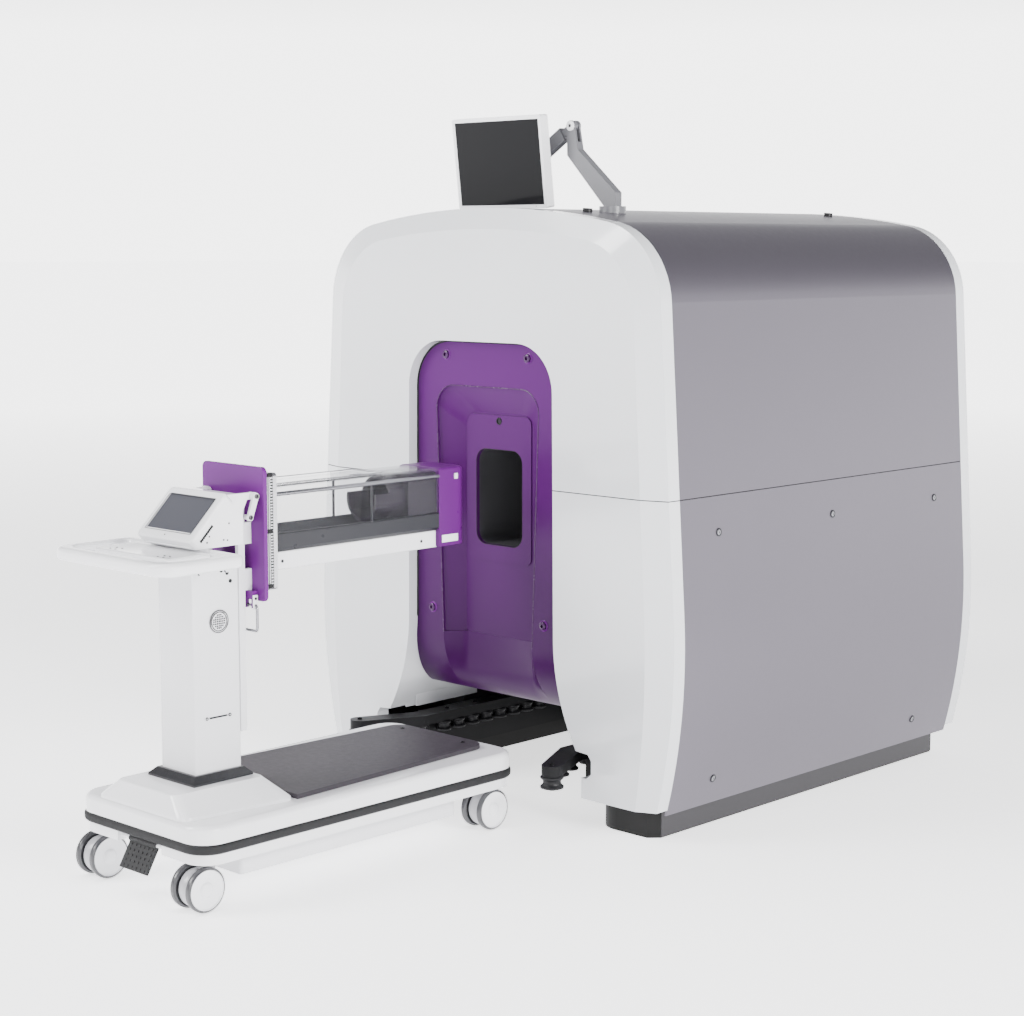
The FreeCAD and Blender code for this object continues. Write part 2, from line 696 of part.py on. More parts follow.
strips = []
for side in (1, -1):
    x0 = S.plinth_half if side > 0 else -S.plinth_half - S.strip_thick
    strips.append(box(x0, x0 + S.strip_thick, plinth_front + S.plinth_facet, plinth_rear,
                      4, S.plinth_height))
keep(group(*strips), "plinth_strips")

yoke = cut(box(-S.yoke_half, S.yoke_half, S.yoke_front, yoke_rear, S.yoke_low, S.yoke_top),
           box(-S.yoke_half + S.yoke_wall, S.yoke_half - S.yoke_wall, S.yoke_front - 5,
               yoke_rear + 5, S.yoke_low + S.yoke_wall, S.yoke_top - S.yoke_wall))
roof_posts = []
for side in (1, -1):
    for back in (150, 800):
        post = Part.makeBox(50, 50, 400, V(side * 300 - 25, float(S.yoke_front) + back,
                                           float(S.yoke_top) - 1))
        roof_posts.append(made(post.common(inner_case)))
keep(fuse(yoke, *roof_posts), "magnet_yoke")
bore_mid = (S.bore_low + S.bore_top) / 2
pole_y = S.yoke_front + S.yoke_depth / 2
pole_outer = S.yoke_half - S.yoke_wall
liner_outer = S.bore_half + S.liner_wall
poles = []
coils = []
for side in (1, -1):
    start = pole_outer - S.pole_thick if side > 0 else -pole_outer
    poles.append(rod("x", S.pole_radius, start, pole_y, bore_mid, S.pole_thick))
    coil_inner = liner_outer + S.coil_gap
    start = coil_inner if side > 0 else S.pole_thick - pole_outer
    coils.append(rod("x", S.coil_radius, start, pole_y, bore_mid,
                     pole_outer - S.pole_thick - coil_inner))
keep(group(*poles), "magnet_poles")
keep(group(*coils), "gradient_coils")

liner_rear = plate_y + S.bore_depth
liner = rounded_block(liner_outer, S.bore_low - S.liner_wall, S.bore_top + S.liner_wall,
                      S.bore_corner + S.liner_wall, niche_back, liner_rear)
liner = liner.cut(rounded_block(S.bore_half, S.bore_low, S.bore_top, S.bore_corner,
                                float(niche_back) - 5, liner_rear - S.liner_wall))
keep(made(liner), "bore_liner")

# ---------------------------------------------------------------- docking rails

rail_low = S.rail_top - S.rail_bar
roller_top = rail_low
rollers = []
rail_rear = plinth_front + S.rail_length
nose_y = plinth_front - S.nose_reach


def spool(radius, x, y, top, height):
    """Grooved roller on an upright axis: two rims and a waist."""
    waist = float(radius) * 0.72
    r, top, height = float(radius), float(top), float(height)
    outline = [(0, top - height), (r, top - height), (r, top - height * 0.78),
               (waist, top - height * 0.62), (waist, top - height * 0.38),
               (r, top - height * 0.22), (r, top), (0, top)]
    points = [V(a, 0, b) for a, b in outline]
    face = Part.Face(Part.makePolygon(points + points[:1]))
    shape = face.revolve(V(0, 0, 0), V(0, 0, 1), 360)
    shape.translate(V(float(x), float(y), 0))
    return made(shape)


for label, side in (("docking_rail_right", 1), ("docking_rail_left", -1)):
    outline = [(S.rail_inner, rail_rear - 230), (S.rail_inner, plinth_front - 5),
               (S.nose_side - 28, nose_y - 15), (S.nose_side + 28, nose_y + 15),
               (S.rail_outer, plinth_front + 10), (S.rail_outer, rail_rear - 230)]
    outline = [(side * x, y) for x, y in outline]
    bar = prism("XY", outline, rail_low, S.rail_bar)
    nose = rod("z", S.nose_radius, side * S.nose_side, nose_y, rail_low, S.rail_bar)
    x0 = S.rail_outer - S.rail_wall if side > 0 else -S.rail_outer
    web = box(x0, x0 + S.rail_wall, plinth_front + 60, rail_rear, S.rail_wall_low, rail_low + 5)
    x0 = S.rail_outer if side > 0 else -S.pedestal_inner
    foot = box(x0, x0 + S.pedestal_inner - S.rail_outer, plinth_front + 300, plinth_front + 700,
               S.rail_wall_low, rail_low - 60)
    keep(fuse(bar, nose, web, foot), label)
    roller_x = S.rail_inner - 8 + S.roller_radius
    for n in range(8):
        rollers.append(spool(S.roller_radius, side * roller_x,
                             plinth_front + S.roller_first + n * S.roller_pitch,
                             roller_top, S.roller_height))
    for x, y in ((S.nose_side - 64, -70), (S.nose_side - 94, 5)):
        rollers.append(spool(S.roller_radius, side * x, plinth_front + y, roller_top,
                             S.roller_height))
    rollers.append(spool(S.nose_wheel_radius, side * S.nose_side, nose_y, roller_top, 40))
keep(group(*rollers), "docking_rollers")

# ---------------------------------------------------------------- monitor and arm

arm_y = plinth_front + S.arm_back
hub_low = S.case_top + 6
base = Part.makeCylinder(float(S.base_radius), float(hub_low) - 0.4 - (float(S.case_top) - 190),
                         V(float(S.arm_side), float(arm_y), float(S.case_top) - 190))
post = Part.makeCylinder(float(S.post_radius), float(S.post_top) - float(S.case_top) + 40,
                         V(float(S.arm_side), float(arm_y), float(S.case_top) - 40))
base = base.fuse(post).cut(case.block(0, S.case_foot, float(arm_y) - 90, float(arm_y) + 90))
keep(made(base.removeSplitter()), "arm_base")

arm_front = arm_y - S.arm_width / 2
elbow_x, elbow_z = S.elbow_side, S.elbow_height
lower_outline = [(S.arm_side + 24, hub_low), (S.arm_side + 24, hub_low + 42),
                 (elbow_x + 30, elbow_z - 74), (elbow_x + 16, elbow_z - 4),
                 (elbow_x - 16, elbow_z - 4), (elbow_x - 14, elbow_z - 92),
                 (S.arm_side - 24, hub_low)]
lower_arm = prism("XZ", lower_outline, arm_front, S.arm_width)
pin_hole = S.arm_pin + S.shaft_gap
socket = rod("z", S.post_radius + S.shaft_gap, S.arm_side, arm_y, hub_low - 5,
             S.post_top - hub_low + 6)
cheek = rod("y", 17, elbow_x, arm_front, elbow_z, S.arm_width)
slot_block = box(elbow_x - 40, elbow_x + 40, arm_front + 8, arm_front + S.arm_width - 8,
                 elbow_z - 50, elbow_z + 40)
lower_arm = cut(cut(fuse(lower_arm, cheek), socket), slot_block)
pin = rod("y", S.arm_pin, elbow_x, arm_front, elbow_z, S.arm_width)
keep(fuse(lower_arm, pin), "arm_lower")

wrist_x, wrist_z = S.wrist_side, S.wrist_height
tongue_front = arm_front + 8.5
tongue_width = S.arm_width - 17
fall = math.atan2(float(elbow_z) - float(wrist_z), float(elbow_x) - float(wrist_x))
reach = math.hypot(float(elbow_z) - float(wrist_z), float(elbow_x) - float(wrist_x))
bar = Part.makeBox(reach - 46, float(S.arm_width), 46, V(-reach, -float(S.arm_width) / 2, -23))
bar = bar.makeFillet(7, [e for e in bar.Edges if along(0)(e)])
neck = Part.makeBox(60, float(tongue_width), 26, V(-60, -float(tongue_width) / 2, -13))
knob = Part.makeCylinder(14, float(tongue_width), V(0, -float(tongue_width) / 2, 0), V(0, 1, 0))
upper = bar.fuse(neck).fuse(knob)
upper.rotate(V(0, 0, 0), V(0, 1, 0), -math.degrees(fall))
upper.translate(V(float(elbow_x), float(arm_y), float(elbow_z)))
cup = Part.makeCylinder(20, 54, V(float(wrist_x), float(arm_y), float(wrist_z) - 36))
hole = Part.makeCylinder(float(pin_hole), 60, V(float(elbow_x), float(arm_y) - 30, float(elbow_z)),
                         V(0, 1, 0))
pivot_hole = Part.makeCylinder(8 + float(S.shaft_gap), 90,
                               V(float(wrist_x), float(arm_y), float(wrist_z) - 20))
over_cup = Part.makeCylinder(30, 60, V(float(wrist_x), float(arm_y), float(wrist_z) + 18))
upper = upper.cut(over_cup).fuse(cup).cut([hole, pivot_hole])
keep(made(upper.removeSplitter()), "arm_upper")

tilt_y = arm_y - 34
stem = rod("z", 8, wrist_x, arm_y, wrist_z - 19, 60)
yoke_arm = box(wrist_x - 18, wrist_x + 18, tilt_y + 8, arm_y + 16, wrist_z + 18.4,
               S.screen_height + 12)
ear_block = rod("x", 9, wrist_x - 18, tilt_y, S.screen_height, 36)
bridge = box(wrist_x - 18, wrist_x + 18, tilt_y, tilt_y + 12, S.screen_height - 9,
             S.screen_height + 9)
wrist = cut(fuse(yoke_arm, bridge, ear_block),
            box(wrist_x - 8.5, wrist_x + 8.5, tilt_y - 20, tilt_y + 13,
                S.screen_height - 30, S.screen_height + 30))
tilt_pin = rod("x", 5, wrist_x - 18, tilt_y, S.screen_height, 36)
keep(fuse(wrist, stem, tilt_pin), "arm_wrist")

# the monitor is drawn upright about its tilt pivot, then leaned forward
back = -21.0
front = back - float(S.monitor_thick)
mh, mt = float(S.monitor_half), float(S.monitor_tall) / 2
shell = Part.makeBox(2 * mh, float(S.monitor_thick), 2 * mt, V(-mh, front, -mt))
shell = shell.makeFillet(8, [e for e in shell.Edges if along(1)(e)])
boss = Part.makeBox(150, 10, 130, V(-75, back, -65))
lug = Part.makeBox(16, 24, 18, V(-8, back + 2, -9)).fuse(
    Part.makeCylinder(9, 16, V(-8, 0, 0), V(1, 0, 0)))
shell = shell.fuse(boss).fuse(lug)
shell = shell.cut(Part.makeCylinder(5 + float(S.shaft_gap), 40, V(-20, 0, 0), V(1, 0, 0)))
rim = float(S.monitor_rim)
pane = Part.makeBox(2 * (mh - rim), 4, 2 * (mt - rim), V(-mh + rim, front + 1.2, -mt + rim))
recess = Part.makeBox(2 * (mh - rim), 5.2, 2 * (mt - rim), V(-mh + rim, front, -mt + rim))
shell = shell.cut(recess).removeSplitter()
lean = FreeCAD.Rotation(V(1, 0, 0), float(S.monitor_lean))
spot = V(float(wrist_x), float(tilt_y), float(S.screen_height))
for shape, label in ((shell, "monitor_body"), (pane, "monitor_screen")):
    thing = keep(made(shape), label)
    thing.Placement = FreeCAD.Placement(spot, lean)

# ---------------------------------------------------------------- trolley deck

deck_far = S.deck_near + S.deck_length
plan = slab(-S.deck_half, S.deck_half, S.deck_near, deck_far)
deck = prism("XY", plan, S.deck_low, S.deck_top - S.deck_low, [(S.deck_corner, (0, 1, 2, 3))])
soften(deck, 16, flat_at(2, S.deck_top))
band_low = S.deck_low - S.band_tall
skirt_half = S.deck_half - S.skirt_inset
skirt = prism("XY", slab(-skirt_half, skirt_half, S.deck_near + S.skirt_inset,
                         deck_far - S.skirt_inset),
              S.skirt_low, S.deck_low - S.skirt_low,
              [(S.deck_corner - S.skirt_inset, (0, 1, 2, 3))])
notch = box(-S.notch_half, S.notch_half, S.deck_near - 10, S.deck_near + S.notch_deep,
            S.skirt_low - 5, band_low - 1)
pedal_y, pedal_z = S.deck_near + 24, 146
pedal_pin = rod("x", 5, -S.notch_half - 10, pedal_y, pedal_z, 2 * S.notch_half + 20)
keep(fuse(deck, cut(skirt, notch), pedal_pin), "deck")

band_half = S.deck_half + S.band_proud
band = prism("XY", slab(-band_half, band_half, S.deck_near - S.band_proud,
                        deck_far + S.band_proud), band_low, S.band_tall,
             [(S.deck_corner + S.band_proud, (0, 1, 2, 3))])
soften(band, 10, flat_at(2, S.deck_low))
soften(band, 10, flat_at(2, band_low))
band_hole = prism("XY", slab(-skirt_half, skirt_half, S.deck_near + S.skirt_inset,
                             deck_far - S.skirt_inset), band_low - 5, S.band_tall + 10,
                  [(S.deck_corner - S.skirt_inset, (0, 1, 2, 3))])
keep(cut(band, band_hole), "bumper_band")

keel = prism("XY", slab(-S.keel_half, S.keel_half, S.keel_near, S.keel_near + S.keel_length),
             S.keel_low, S.skirt_low - S.keel_low, [(12, (0, 1, 2, 3))])
keep(keel, "keel_box")

mat_far = deck_far - 45
mat = prism("XY", [(-S.mat_half, S.mat_near), (S.mat_half, S.mat_near),
                   (S.mat_far_half, mat_far), (-S.mat_far_half, mat_far)],
            S.deck_top, S.mat_thick, [(55, (2, 3))])
soften(mat, 4, flat_at(2, S.deck_top + S.mat_thick))
keep(mat, "step_mat")

foot_far = S.foot_near + S.foot_length


def level_ring(near_half, far_half, near, far, corner, z):
    """Level outline with four rounded corners, its near and far ends of different widths."""
    near_half, far_half, near, far, z = (float(v) for v in (near_half, far_half, near, far, z))
    corners = [V(-near_half, near, z), V(near_half, near, z), V(far_half, far, z),
               V(-far_half, far, z)]
    block = Part.Face(Part.makePolygon(corners + corners[:1])).extrude(V(0, 0, 5))
    block = block.makeFillet(float(corner), [e for e in block.Edges if along(2)(e)])
    return [f for f in block.Faces if span(f, 2)[1] < z + 0.01][0].OuterWire


foot_base = level_ring(198, S.mat_half + 2, S.foot_near - 4, foot_far, 34, S.deck_top)
foot_edge = level_ring(196, S.mat_half, S.foot_near - 2, foot_far - 1, 33, S.deck_top + 8)
foot_plateau = level_ring(134, 140, S.foot_near + 19, foot_far - 38, 26, S.foot_top)
foot = Part.makeLoft([foot_base, foot_edge, foot_plateau], True, True)
foot = foot.makeFillet(7, [e for e in foot.Edges if flat_at(2, S.foot_top)(e)])
keep(made(foot), "foot_cover")

# ---------------------------------------------------------------- column, handle

column_far = S.column_near + S.column_deep
collar_half = S.column_half + S.collar_proud
collar = prism("XY", slab(-collar_half, collar_half, S.column_near - S.collar_proud,
                          column_far + S.collar_proud - 8), S.foot_top, S.collar_thick)
doc.recompute()
collar_pad = collar.Tip
bevel = collar.newObject("PartDesign::Chamfer", "Bevel")
bevel.Base = (collar_pad, edges_where(collar_pad.Shape, flat_at(2, S.foot_top + S.collar_thick)))
bind(bevel, "Size", S.collar_thick - 6)
keep(collar, "column_collar")

column_low = S.foot_top + S.collar_thick
column = prism("XY", slab(-S.column_half, S.column_half, S.column_near, column_far),
               column_low, S.handle_low - column_low, [(5, (0, 1, 2, 3))])
keep(column, "column")

vent_y = S.column_near + 92
fittings = []
grille = Part.makeCylinder(31, 3, V(0, 0, 0), V(1, 0, 0))
grille = grille.cut(Part.makeTorus(24, 1.6, V(3, 0, 0), V(1, 0, 0)))
for row in range(-1, 2):
    for col in range(-1, 2):
        grille = grille.cut(Part.makeCylinder(3, 5, V(1, row * 10, col * 10), V(1, 0, 0)))
grille.translate(V(float(S.column_half), float(vent_y), 736))
fittings.append(made(grille))
slot_plate = Part.makeBox(1.5, 64, 5, V(float(S.column_half), float(S.column_near) + 48, 472))
fittings.append(made(slot_plate))
for y, z in ((38, 474), (122, 474), (30, 880), (120, 880)):
    head = Part.makeCylinder(5, 2, V(float(S.column_half), float(S.column_near) + y, z), V(1, 0, 0))
    fittings.append(made(head))
keep(group(*fittings), "column_fittings")

outer = prism("XY", slab(-S.handle_half, S.handle_half, S.handle_near, S.handle_far),
              S.handle_low, S.handle_top - S.handle_low,
              [(S.handle_corner, (0, 1)), (26, (2, 3))])
inner_half = S.handle_half - S.handle_bar
inner = prism("XY", slab(-inner_half, inner_half, S.handle_near + S.handle_bar,
                         S.handle_far - S.handle_bar), S.handle_low - 5,
              S.handle_top - S.handle_low + 10,
              [(S.handle_corner - S.handle_bar / 2, (0, 1)), (12, (2, 3))])
hoop = cut(outer, inner)
hoop = soften(hoop, 14, lambda e: flat_at(2, S.handle_top)(e) or flat_at(2, S.handle_low)(e))
shelf = prism("XY", slab(-S.tray_half, S.tray_half, S.tray_near, S.handle_far - 10),
              S.handle_low, S.tray_thick, [(18, (0, 1))])
keys = prism("XY", slab(-S.tray_half + 60, S.tray_half - 20, S.tray_near + 30,
                        S.tray_near + 120), S.handle_low + S.tray_thick - 1, 4)
keep(fuse(hoop, shelf, keys), "handle")

# ---------------------------------------------------------------- rear rail, links

plate_far = S.rail_plate_near + 22
uprights = []
ear_x = S.console_half - S.ear_thick + 8
link_x = ear_x + S.ear_thick + S.link_gap
shaft_y, shaft_z = S.rail_plate_near + 12, S.pivot_height - 57
for side in (1, -1):
    x0 = S.rail_plate_half - S.rail_plate_thick if side > 0 else -S.rail_plate_half
    uprights.append(box(x0, x0 + S.rail_plate_thick, S.rail_plate_near, plate_far,
                        S.rail_plate_low, S.rail_plate_top))
    for z in (S.shield_low + 30, S.shield_low + 160):
        uprights.append(box(x0, x0 + S.rail_plate_thick, plate_far - 2, S.shield_front, z, z + 60))
    x0 = link_x if side > 0 else -link_x - S.link_thick
    rise_y = float(S.pivot_y) - float(shaft_y)
    rise_z = float(S.pivot_height) - float(shaft_z)
    link = Part.makeBox(float(S.link_thick), 18, math.hypot(rise_y, rise_z), V(0, -9, 0))
    link.rotate(V(0, 0, 0), V(1, 0, 0), -math.degrees(math.atan2(rise_y, rise_z)))
    for dy, dz in ((0, 0), (rise_y, rise_z)):
        link = link.fuse(Part.makeCylinder(10, float(S.link_thick), V(0, dy, dz), V(1, 0, 0)))
    link.translate(V(float(x0), float(shaft_y), float(shaft_z)))
    uprights.append(made(link.removeSplitter()))
    start = S.console_half - 14 if side > 0 else -link_x - S.link_thick
    uprights.append(rod("x", S.pivot_radius, start, S.pivot_y, S.pivot_height,
                        link_x + S.link_thick - S.console_half + 14))
shaft_half = link_x + S.link_thick
uprights.append(rod("x", 7, -shaft_half, shaft_y, shaft_z, 2 * shaft_half))
spine = box(-S.rail_plate_half, S.rail_plate_half, S.rail_plate_near, plate_far - 8,
            S.rail_plate_low, S.rail_plate_low + 60)
keep(fuse(*uprights, spine), "column_rail")

# ---------------------------------------------------------------- console

tray_top = S.handle_low + S.tray_thick
cheek_rear = S.rail_plate_near - 2
head_low_y, head_low_z = S.column_near - 37, 978
wedge_outline = [(head_low_y + 36, S.handle_top + 0.6), (cheek_rear, S.handle_top + 0.6),
                 (cheek_rear, S.pivot_height - 40), (S.pivot_y - 20, S.pivot_height - 9),
                 (S.pivot_y, S.pivot_height - 9), (S.pivot_y, S.pivot_height + 10),
                 (S.pivot_y - 108, S.pivot_height + 11), (head_low_y + 16, head_low_z - 20)]
wedge = prism("YZ", wedge_outline, -S.console_half, S.console_half * 2)
gap = box(-S.console_half + S.ear_thick, S.console_half - S.ear_thick, cheek_rear - 14,
          S.pivot_y + 20, S.pivot_height - 60, S.pivot_height + 40)
ears = []
for side in (1, -1):
    x0 = ear_x if side > 0 else -ear_x - S.ear_thick
    ears.append(rod("x", S.ear_radius, x0 - (0 if side < 0 else 8), S.pivot_y, S.pivot_height,
                    S.ear_thick + 8))
shaft_clear = rod("x", S.pivot_radius + S.shaft_gap, -200, S.pivot_y, S.pivot_height, 400)
column_clear = box(-S.rail_plate_half - 1, S.rail_plate_half + 1, S.rail_plate_near - 6,
                   S.pivot_y + 30, tray_top - 20, S.rail_plate_top + 8)
wedge = cut(cut(fuse(cut(wedge, gap), *ears), shaft_clear), column_clear)

head = Part.makeBox(2 * float(S.head_half), float(S.head_tall), float(S.head_thick),
                    V(-float(S.head_half), 0, -float(S.head_thick)))
head = head.makeFillet(14, [e for e in head.Edges if along(2)(e)])
head = head.makeFillet(6, [e for e in head.Edges if flat_at(2, 0)(e)])
glass_low = 30.0
glass = Part.makeBox(2 * float(S.glass_half), float(S.glass_tall), 3,
                     V(-float(S.glass_half), glass_low, -3.6))
seat = Part.makeBox(2 * float(S.glass_half), float(S.glass_tall), 3.6,
                    V(-float(S.glass_half), glass_low, -3.6))
lay = FreeCAD.Placement(V(0, float(head_low_y), head_low_z),
                        FreeCAD.Rotation(V(1, 0, 0), float(S.head_tilt)))
head_piece = made(head)
head_piece.Placement = lay
seat_piece = made(seat)
seat_piece.Placement = lay
keep(cut(fuse(wedge, head_piece), seat_piece), "console")
screen = keep(made(glass), "console_screen")
screen.Placement = lay

# ---------------------------------------------------------------- shield and seal

shield = prism("XZ", slab(-S.shield_half, S.shield_half, S.shield_low, S.shield_top),
               S.shield_front, S.shield_thick, [(S.shield_corner, (0, 1, 2, 3))])
soften(shield, 3, flat_at(1, S.shield_front))
loop_y = S.shield_front - 12
hanger = box(S.loop_side - 20, S.loop_side + 20, loop_y - 6, S.shield_front, S.shield_low + 8,
             S.shield_low + 30)
lugs = [box(S.loop_side + x, S.loop_side + x + 8, loop_y - 6, loop_y + 6, S.loop_height - 8,
            S.shield_low + 12) for x in (-20, 12)]
loop_rod_hole = rod("x", S.loop_wire + S.shaft_gap, S.loop_side - 40, loop_y, S.loop_height, 80)
keep(cut(fuse(shield, hanger, *lugs), loop_rod_hole), "shield_panel")

shield_rear = S.shield_front + S.shield_thick
seal = prism("XZ", slab(-S.seal_half, S.seal_half, S.seal_low, S.seal_top), shield_rear,
             S.seal_thick, [(10, (0, 1, 2, 3))])
channel_y = shield_rear + 14
channel = cut(box(-200, 200, channel_y, channel_y + 5, 700, 1300),
              prism("XZ", slab(-S.seal_half + 6, S.seal_half - 6, S.seal_low + 6,
                               S.seal_top - 6), channel_y - 5, 15))
second = cut(box(-200, 200, channel_y + 16, channel_y + 19, 700, 1300),
             prism("XZ", slab(-S.seal_half + 4, S.seal_half - 4, S.seal_low + 4,
                              S.seal_top - 4), channel_y + 10, 15))
keep(cut(cut(seal, channel), second), "seal_flange")
seal_rear = shield_rear + S.seal_thick

wire_r = S.loop_wire
loop_low = S.loop_height - S.loop_tall
loop = fuse(rod("x", wire_r, S.loop_side - S.loop_half, loop_y, S.loop_height, S.loop_half * 2),
            rod("x", wire_r, S.loop_side - S.loop_half, loop_y, loop_low, S.loop_half * 2),
            rod("z", wire_r, S.loop_side - S.loop_half, loop_y, loop_low, S.loop_tall),
            rod("z", wire_r, S.loop_side + S.loop_half, loop_y, loop_low, S.loop_tall))
keep(loop, "latch_loop")

# ---------------------------------------------------------------- cradle

cradle_far = seal_rear + S.cradle_length
beam_top = S.beam_low + S.beam_tall
beam = prism("XZ", slab(-S.beam_half, S.beam_half, S.beam_low, beam_top), seal_rear,
             S.cradle_length + 6, [(6, (0, 1, 2, 3))])
keep(beam, "cradle_beam")

tub_outline = [(-S.tub_half, beam_top + S.tub_tall), (-S.tub_half, beam_top + 10),
               (-S.tub_half + 10, beam_top), (S.tub_half - 10, beam_top),
               (S.tub_half, beam_top + 10), (S.tub_half, beam_top + S.tub_tall),
               (S.tub_half - S.tub_wall, beam_top + S.tub_tall),
               (S.tub_half - S.tub_wall - 4, beam_top + 14),
               (S.tub_half - S.tub_wall - 14, beam_top + S.tub_wall),
               (-S.tub_half + S.tub_wall + 14, beam_top + S.tub_wall),
               (-S.tub_half + S.tub_wall + 4, beam_top + 14),
               (-S.tub_half + S.tub_wall, beam_top + S.tub_tall)]
tub = prism("XZ", tub_outline, seal_rear, S.cradle_length)
keep(tub, "cradle_tray")

mattress_near = seal_rear + 6
mattress_low = beam_top + S.tub_wall + 0.3
mattress = prism("XZ", slab(-S.mattress_half + 8, S.mattress_half - 8, mattress_low,
                            mattress_low + S.mattress_thick), mattress_near,
                 S.mattress_length)
keep(mattress, "mattress")

# clear capsule over the tray, with a hinged lid in its roof
rim_z = beam_top + S.tub_tall
ch, ct = S.capsule_half, S.capsule_top
hood = prism("XZ", slab(-ch, ch, rim_z, ct), seal_rear, S.cradle_length, [(S.capsule_corner, (2, 3))])
hood_inside = prism("XZ", slab(-ch + S.capsule_wall, ch - S.capsule_wall, rim_z - 5,
                               ct - S.capsule_wall), seal_rear - 5, S.cradle_length + 10,
                    [(S.capsule_corner - S.capsule_wall, (2, 3))])
lid_near = seal_rear + 40
lid_length = S.mattress_length
lid_opening = box(-S.lid_half, S.lid_half, lid_near, lid_near + lid_length, ct - 20, ct + 5)
hood = cut(cut(hood, hood_inside), lid_opening)
rails = []
for side in (1, -1):
    x0 = ch - 1 if side > 0 else -ch - 3
    rails.append(box(x0, x0 + 4, seal_rear, cradle_far, ct - S.capsule_corner - 14,
                     ct - S.capsule_corner - 4))
keep(fuse(hood, *rails), "capsule")

lid = box(-S.lid_half - 10, S.lid_half + 10, lid_near - 6, lid_near + lid_length + 6,
          ct + 0.3, ct + 4)
keep(lid, "capsule_lid")

# head coil: an open dark hoop at the far end of the cradle, with its housing behind
coil_far = cradle_far
coil_near = coil_far - S.coil_length * 2
floor_z = beam_top + S.tub_wall + 0.3
coil_half = ch - S.capsule_wall - 6
housing = prism("XZ", slab(-coil_half, coil_half, rim_z + 1, ct - S.capsule_wall - 4),
                coil_far - S.coil_length, S.coil_length, [(16, (2, 3))])
housing_low = prism("XZ", slab(-coil_half + 8, coil_half - 8, floor_z + 14, rim_z + 2),
                    coil_far - S.coil_length, S.coil_length)
housing_foot = box(-50, 50, coil_far - S.coil_length, coil_far, floor_z, floor_z + 15)
ring_mid_z = (rim_z + ct) / 2 - 12
hoop_solid = rod("y", 66, 0, coil_near, ring_mid_z, S.coil_length)
bore_solid = rod("y", 66 - S.coil_wall, 0, coil_near - 5, ring_mid_z, S.coil_length * 2 - 12)
clip_low = box(-100, 100, coil_near - 10, coil_far + 10, 800, floor_z)
front_cut = box(-100, 100, coil_near - 10, coil_near + 60, ring_mid_z + 18, ct)
coil = cut(cut(fuse(housing, housing_low, housing_foot, cut(hoop_solid, front_cut)), bore_solid),
           clip_low)
keep(coil, "head_coil")

cap_near = cradle_far
cap_outline = [(-S.cap_half, cap_near), (S.cap_half, cap_near),
               (S.cap_half, cap_near + S.cap_length), (-S.cap_half, cap_near + S.cap_length)]
cap = prism("XY", cap_outline, S.cap_low, S.cap_top - S.cap_low, [(S.cap_round, (2, 3))])
soften(cap, 10, flat_at(2, S.cap_top))
button_y, button_z = cap_near + 64, 1064
beam_slot = box(-S.beam_half - 1, S.beam_half + 1, cap_near - 5, cap_near + 7,
                S.cap_low - 5, beam_top + 1)
button_hole = box(S.cap_half - 8, S.cap_half + 5, button_y, button_y + 14, button_z, button_z + 18)
keep(cut(cut(cap, beam_slot), button_hole), "end_cap")
button = box(S.cap_half - 5.5, S.cap_half + 2.5, button_y + 0.5, button_y + 13.5,
             button_z + 0.5, button_z + 17.5)
keep(button, "end_cap_button")

# ---------------------------------------------------------------- pedal and casters

pedal = Part.makeBox(2 * float(S.pedal_half), float(S.pedal_long), float(S.pedal_thick),
                     V(-float(S.pedal_half), -float(S.pedal_long), -float(S.pedal_thick)))
for row in range(5):
    for col in range(6):
        stud = Part.makeBox(9, 6, 2.5, V(-52 + 19 * col, -78 + 15 * row, -0.5))
        pedal = pedal.fuse(stud)
pedal.rotate(V(0, 0, 0), V(1, 0, 0), float(S.pedal_tilt))
barrel = Part.makeCylinder(9, 2 * float(S.pedal_half), V(-float(S.pedal_half), 0, 0), V(1, 0, 0))
pedal = pedal.fuse(barrel).cut(Part.makeCylinder(5 + float(S.shaft_gap), 300, V(-150, 0, 0), V(1, 0, 0)))
pedal.translate(V(0, float(pedal_y), float(pedal_z)))
keep(made(pedal.removeSplitter()), "foot_pedal")

near_y = S.deck_near + S.caster_inset
far_y = deck_far - S.caster_far_inset
corners = {"near_right": (1, near_y), "near_left": (-1, near_y), "far_right": (1, far_y),
           "far_left": (-1, far_y)}
axle_z = S.wheel_radius
for label, (side, king_y) in corners.items():
    king_x = side * S.caster_side
    axle_y = king_y - S.trail
    neck = rod("z", 18, king_x, king_y, S.skirt_low - 14, 13.7)
    fork = prism("YZ", [(axle_y - 14, axle_z - 12), (axle_y + 16, axle_z - 12),
                        (king_y + 24, S.skirt_low - 30), (king_y + 24, S.skirt_low - 13),
                        (king_y - 24, S.skirt_low - 13), (axle_y - 14, axle_z + 16)],
                 king_x - 19, 38)
    bore = rod("x", S.axle_radius + S.shaft_gap, king_x - 60, axle_y, axle_z, 120)
    keep(cut(fuse(neck, fork), bore), "caster_" + label)
    wheels = [rod("x", S.axle_radius, king_x - 42, axle_y, axle_z, 84)]
    for way in (1, -1):
        mid = king_x + way * S.wheel_apart / 2
        start = mid - S.wheel_wide / 2
        tyre = rod("x", S.wheel_radius, start, axle_y, axle_z, S.wheel_wide)
        tyre = soften(tyre, 5, lambda e: span(e, 0)[1] - span(e, 0)[0] < 0.01)
        wheels.append(tyre)
    keep(fuse(*wheels), "wheels_" + label)

# ---------------------------------------------------------------- check and export

doc.recompute()
faults = [thing.Name for thing in doc.Objects
          if "Invalid" in thing.State or "Error" in thing.State]
for thing in pieces:
    if thing.Shape.isNull() or not thing.Shape.isValid() or not thing.Shape.Solids:
        faults.append(thing.Label)
if faults:
    raise RuntimeError("failed objects: " + ", ".join(faults))
os.makedirs("parts", exist_ok=True)
for thing in pieces:
    thing.Shape.exportStep("parts/%s.step" % thing.Label)
print("wrote", len(pieces), "sub-parts")
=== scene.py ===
import math

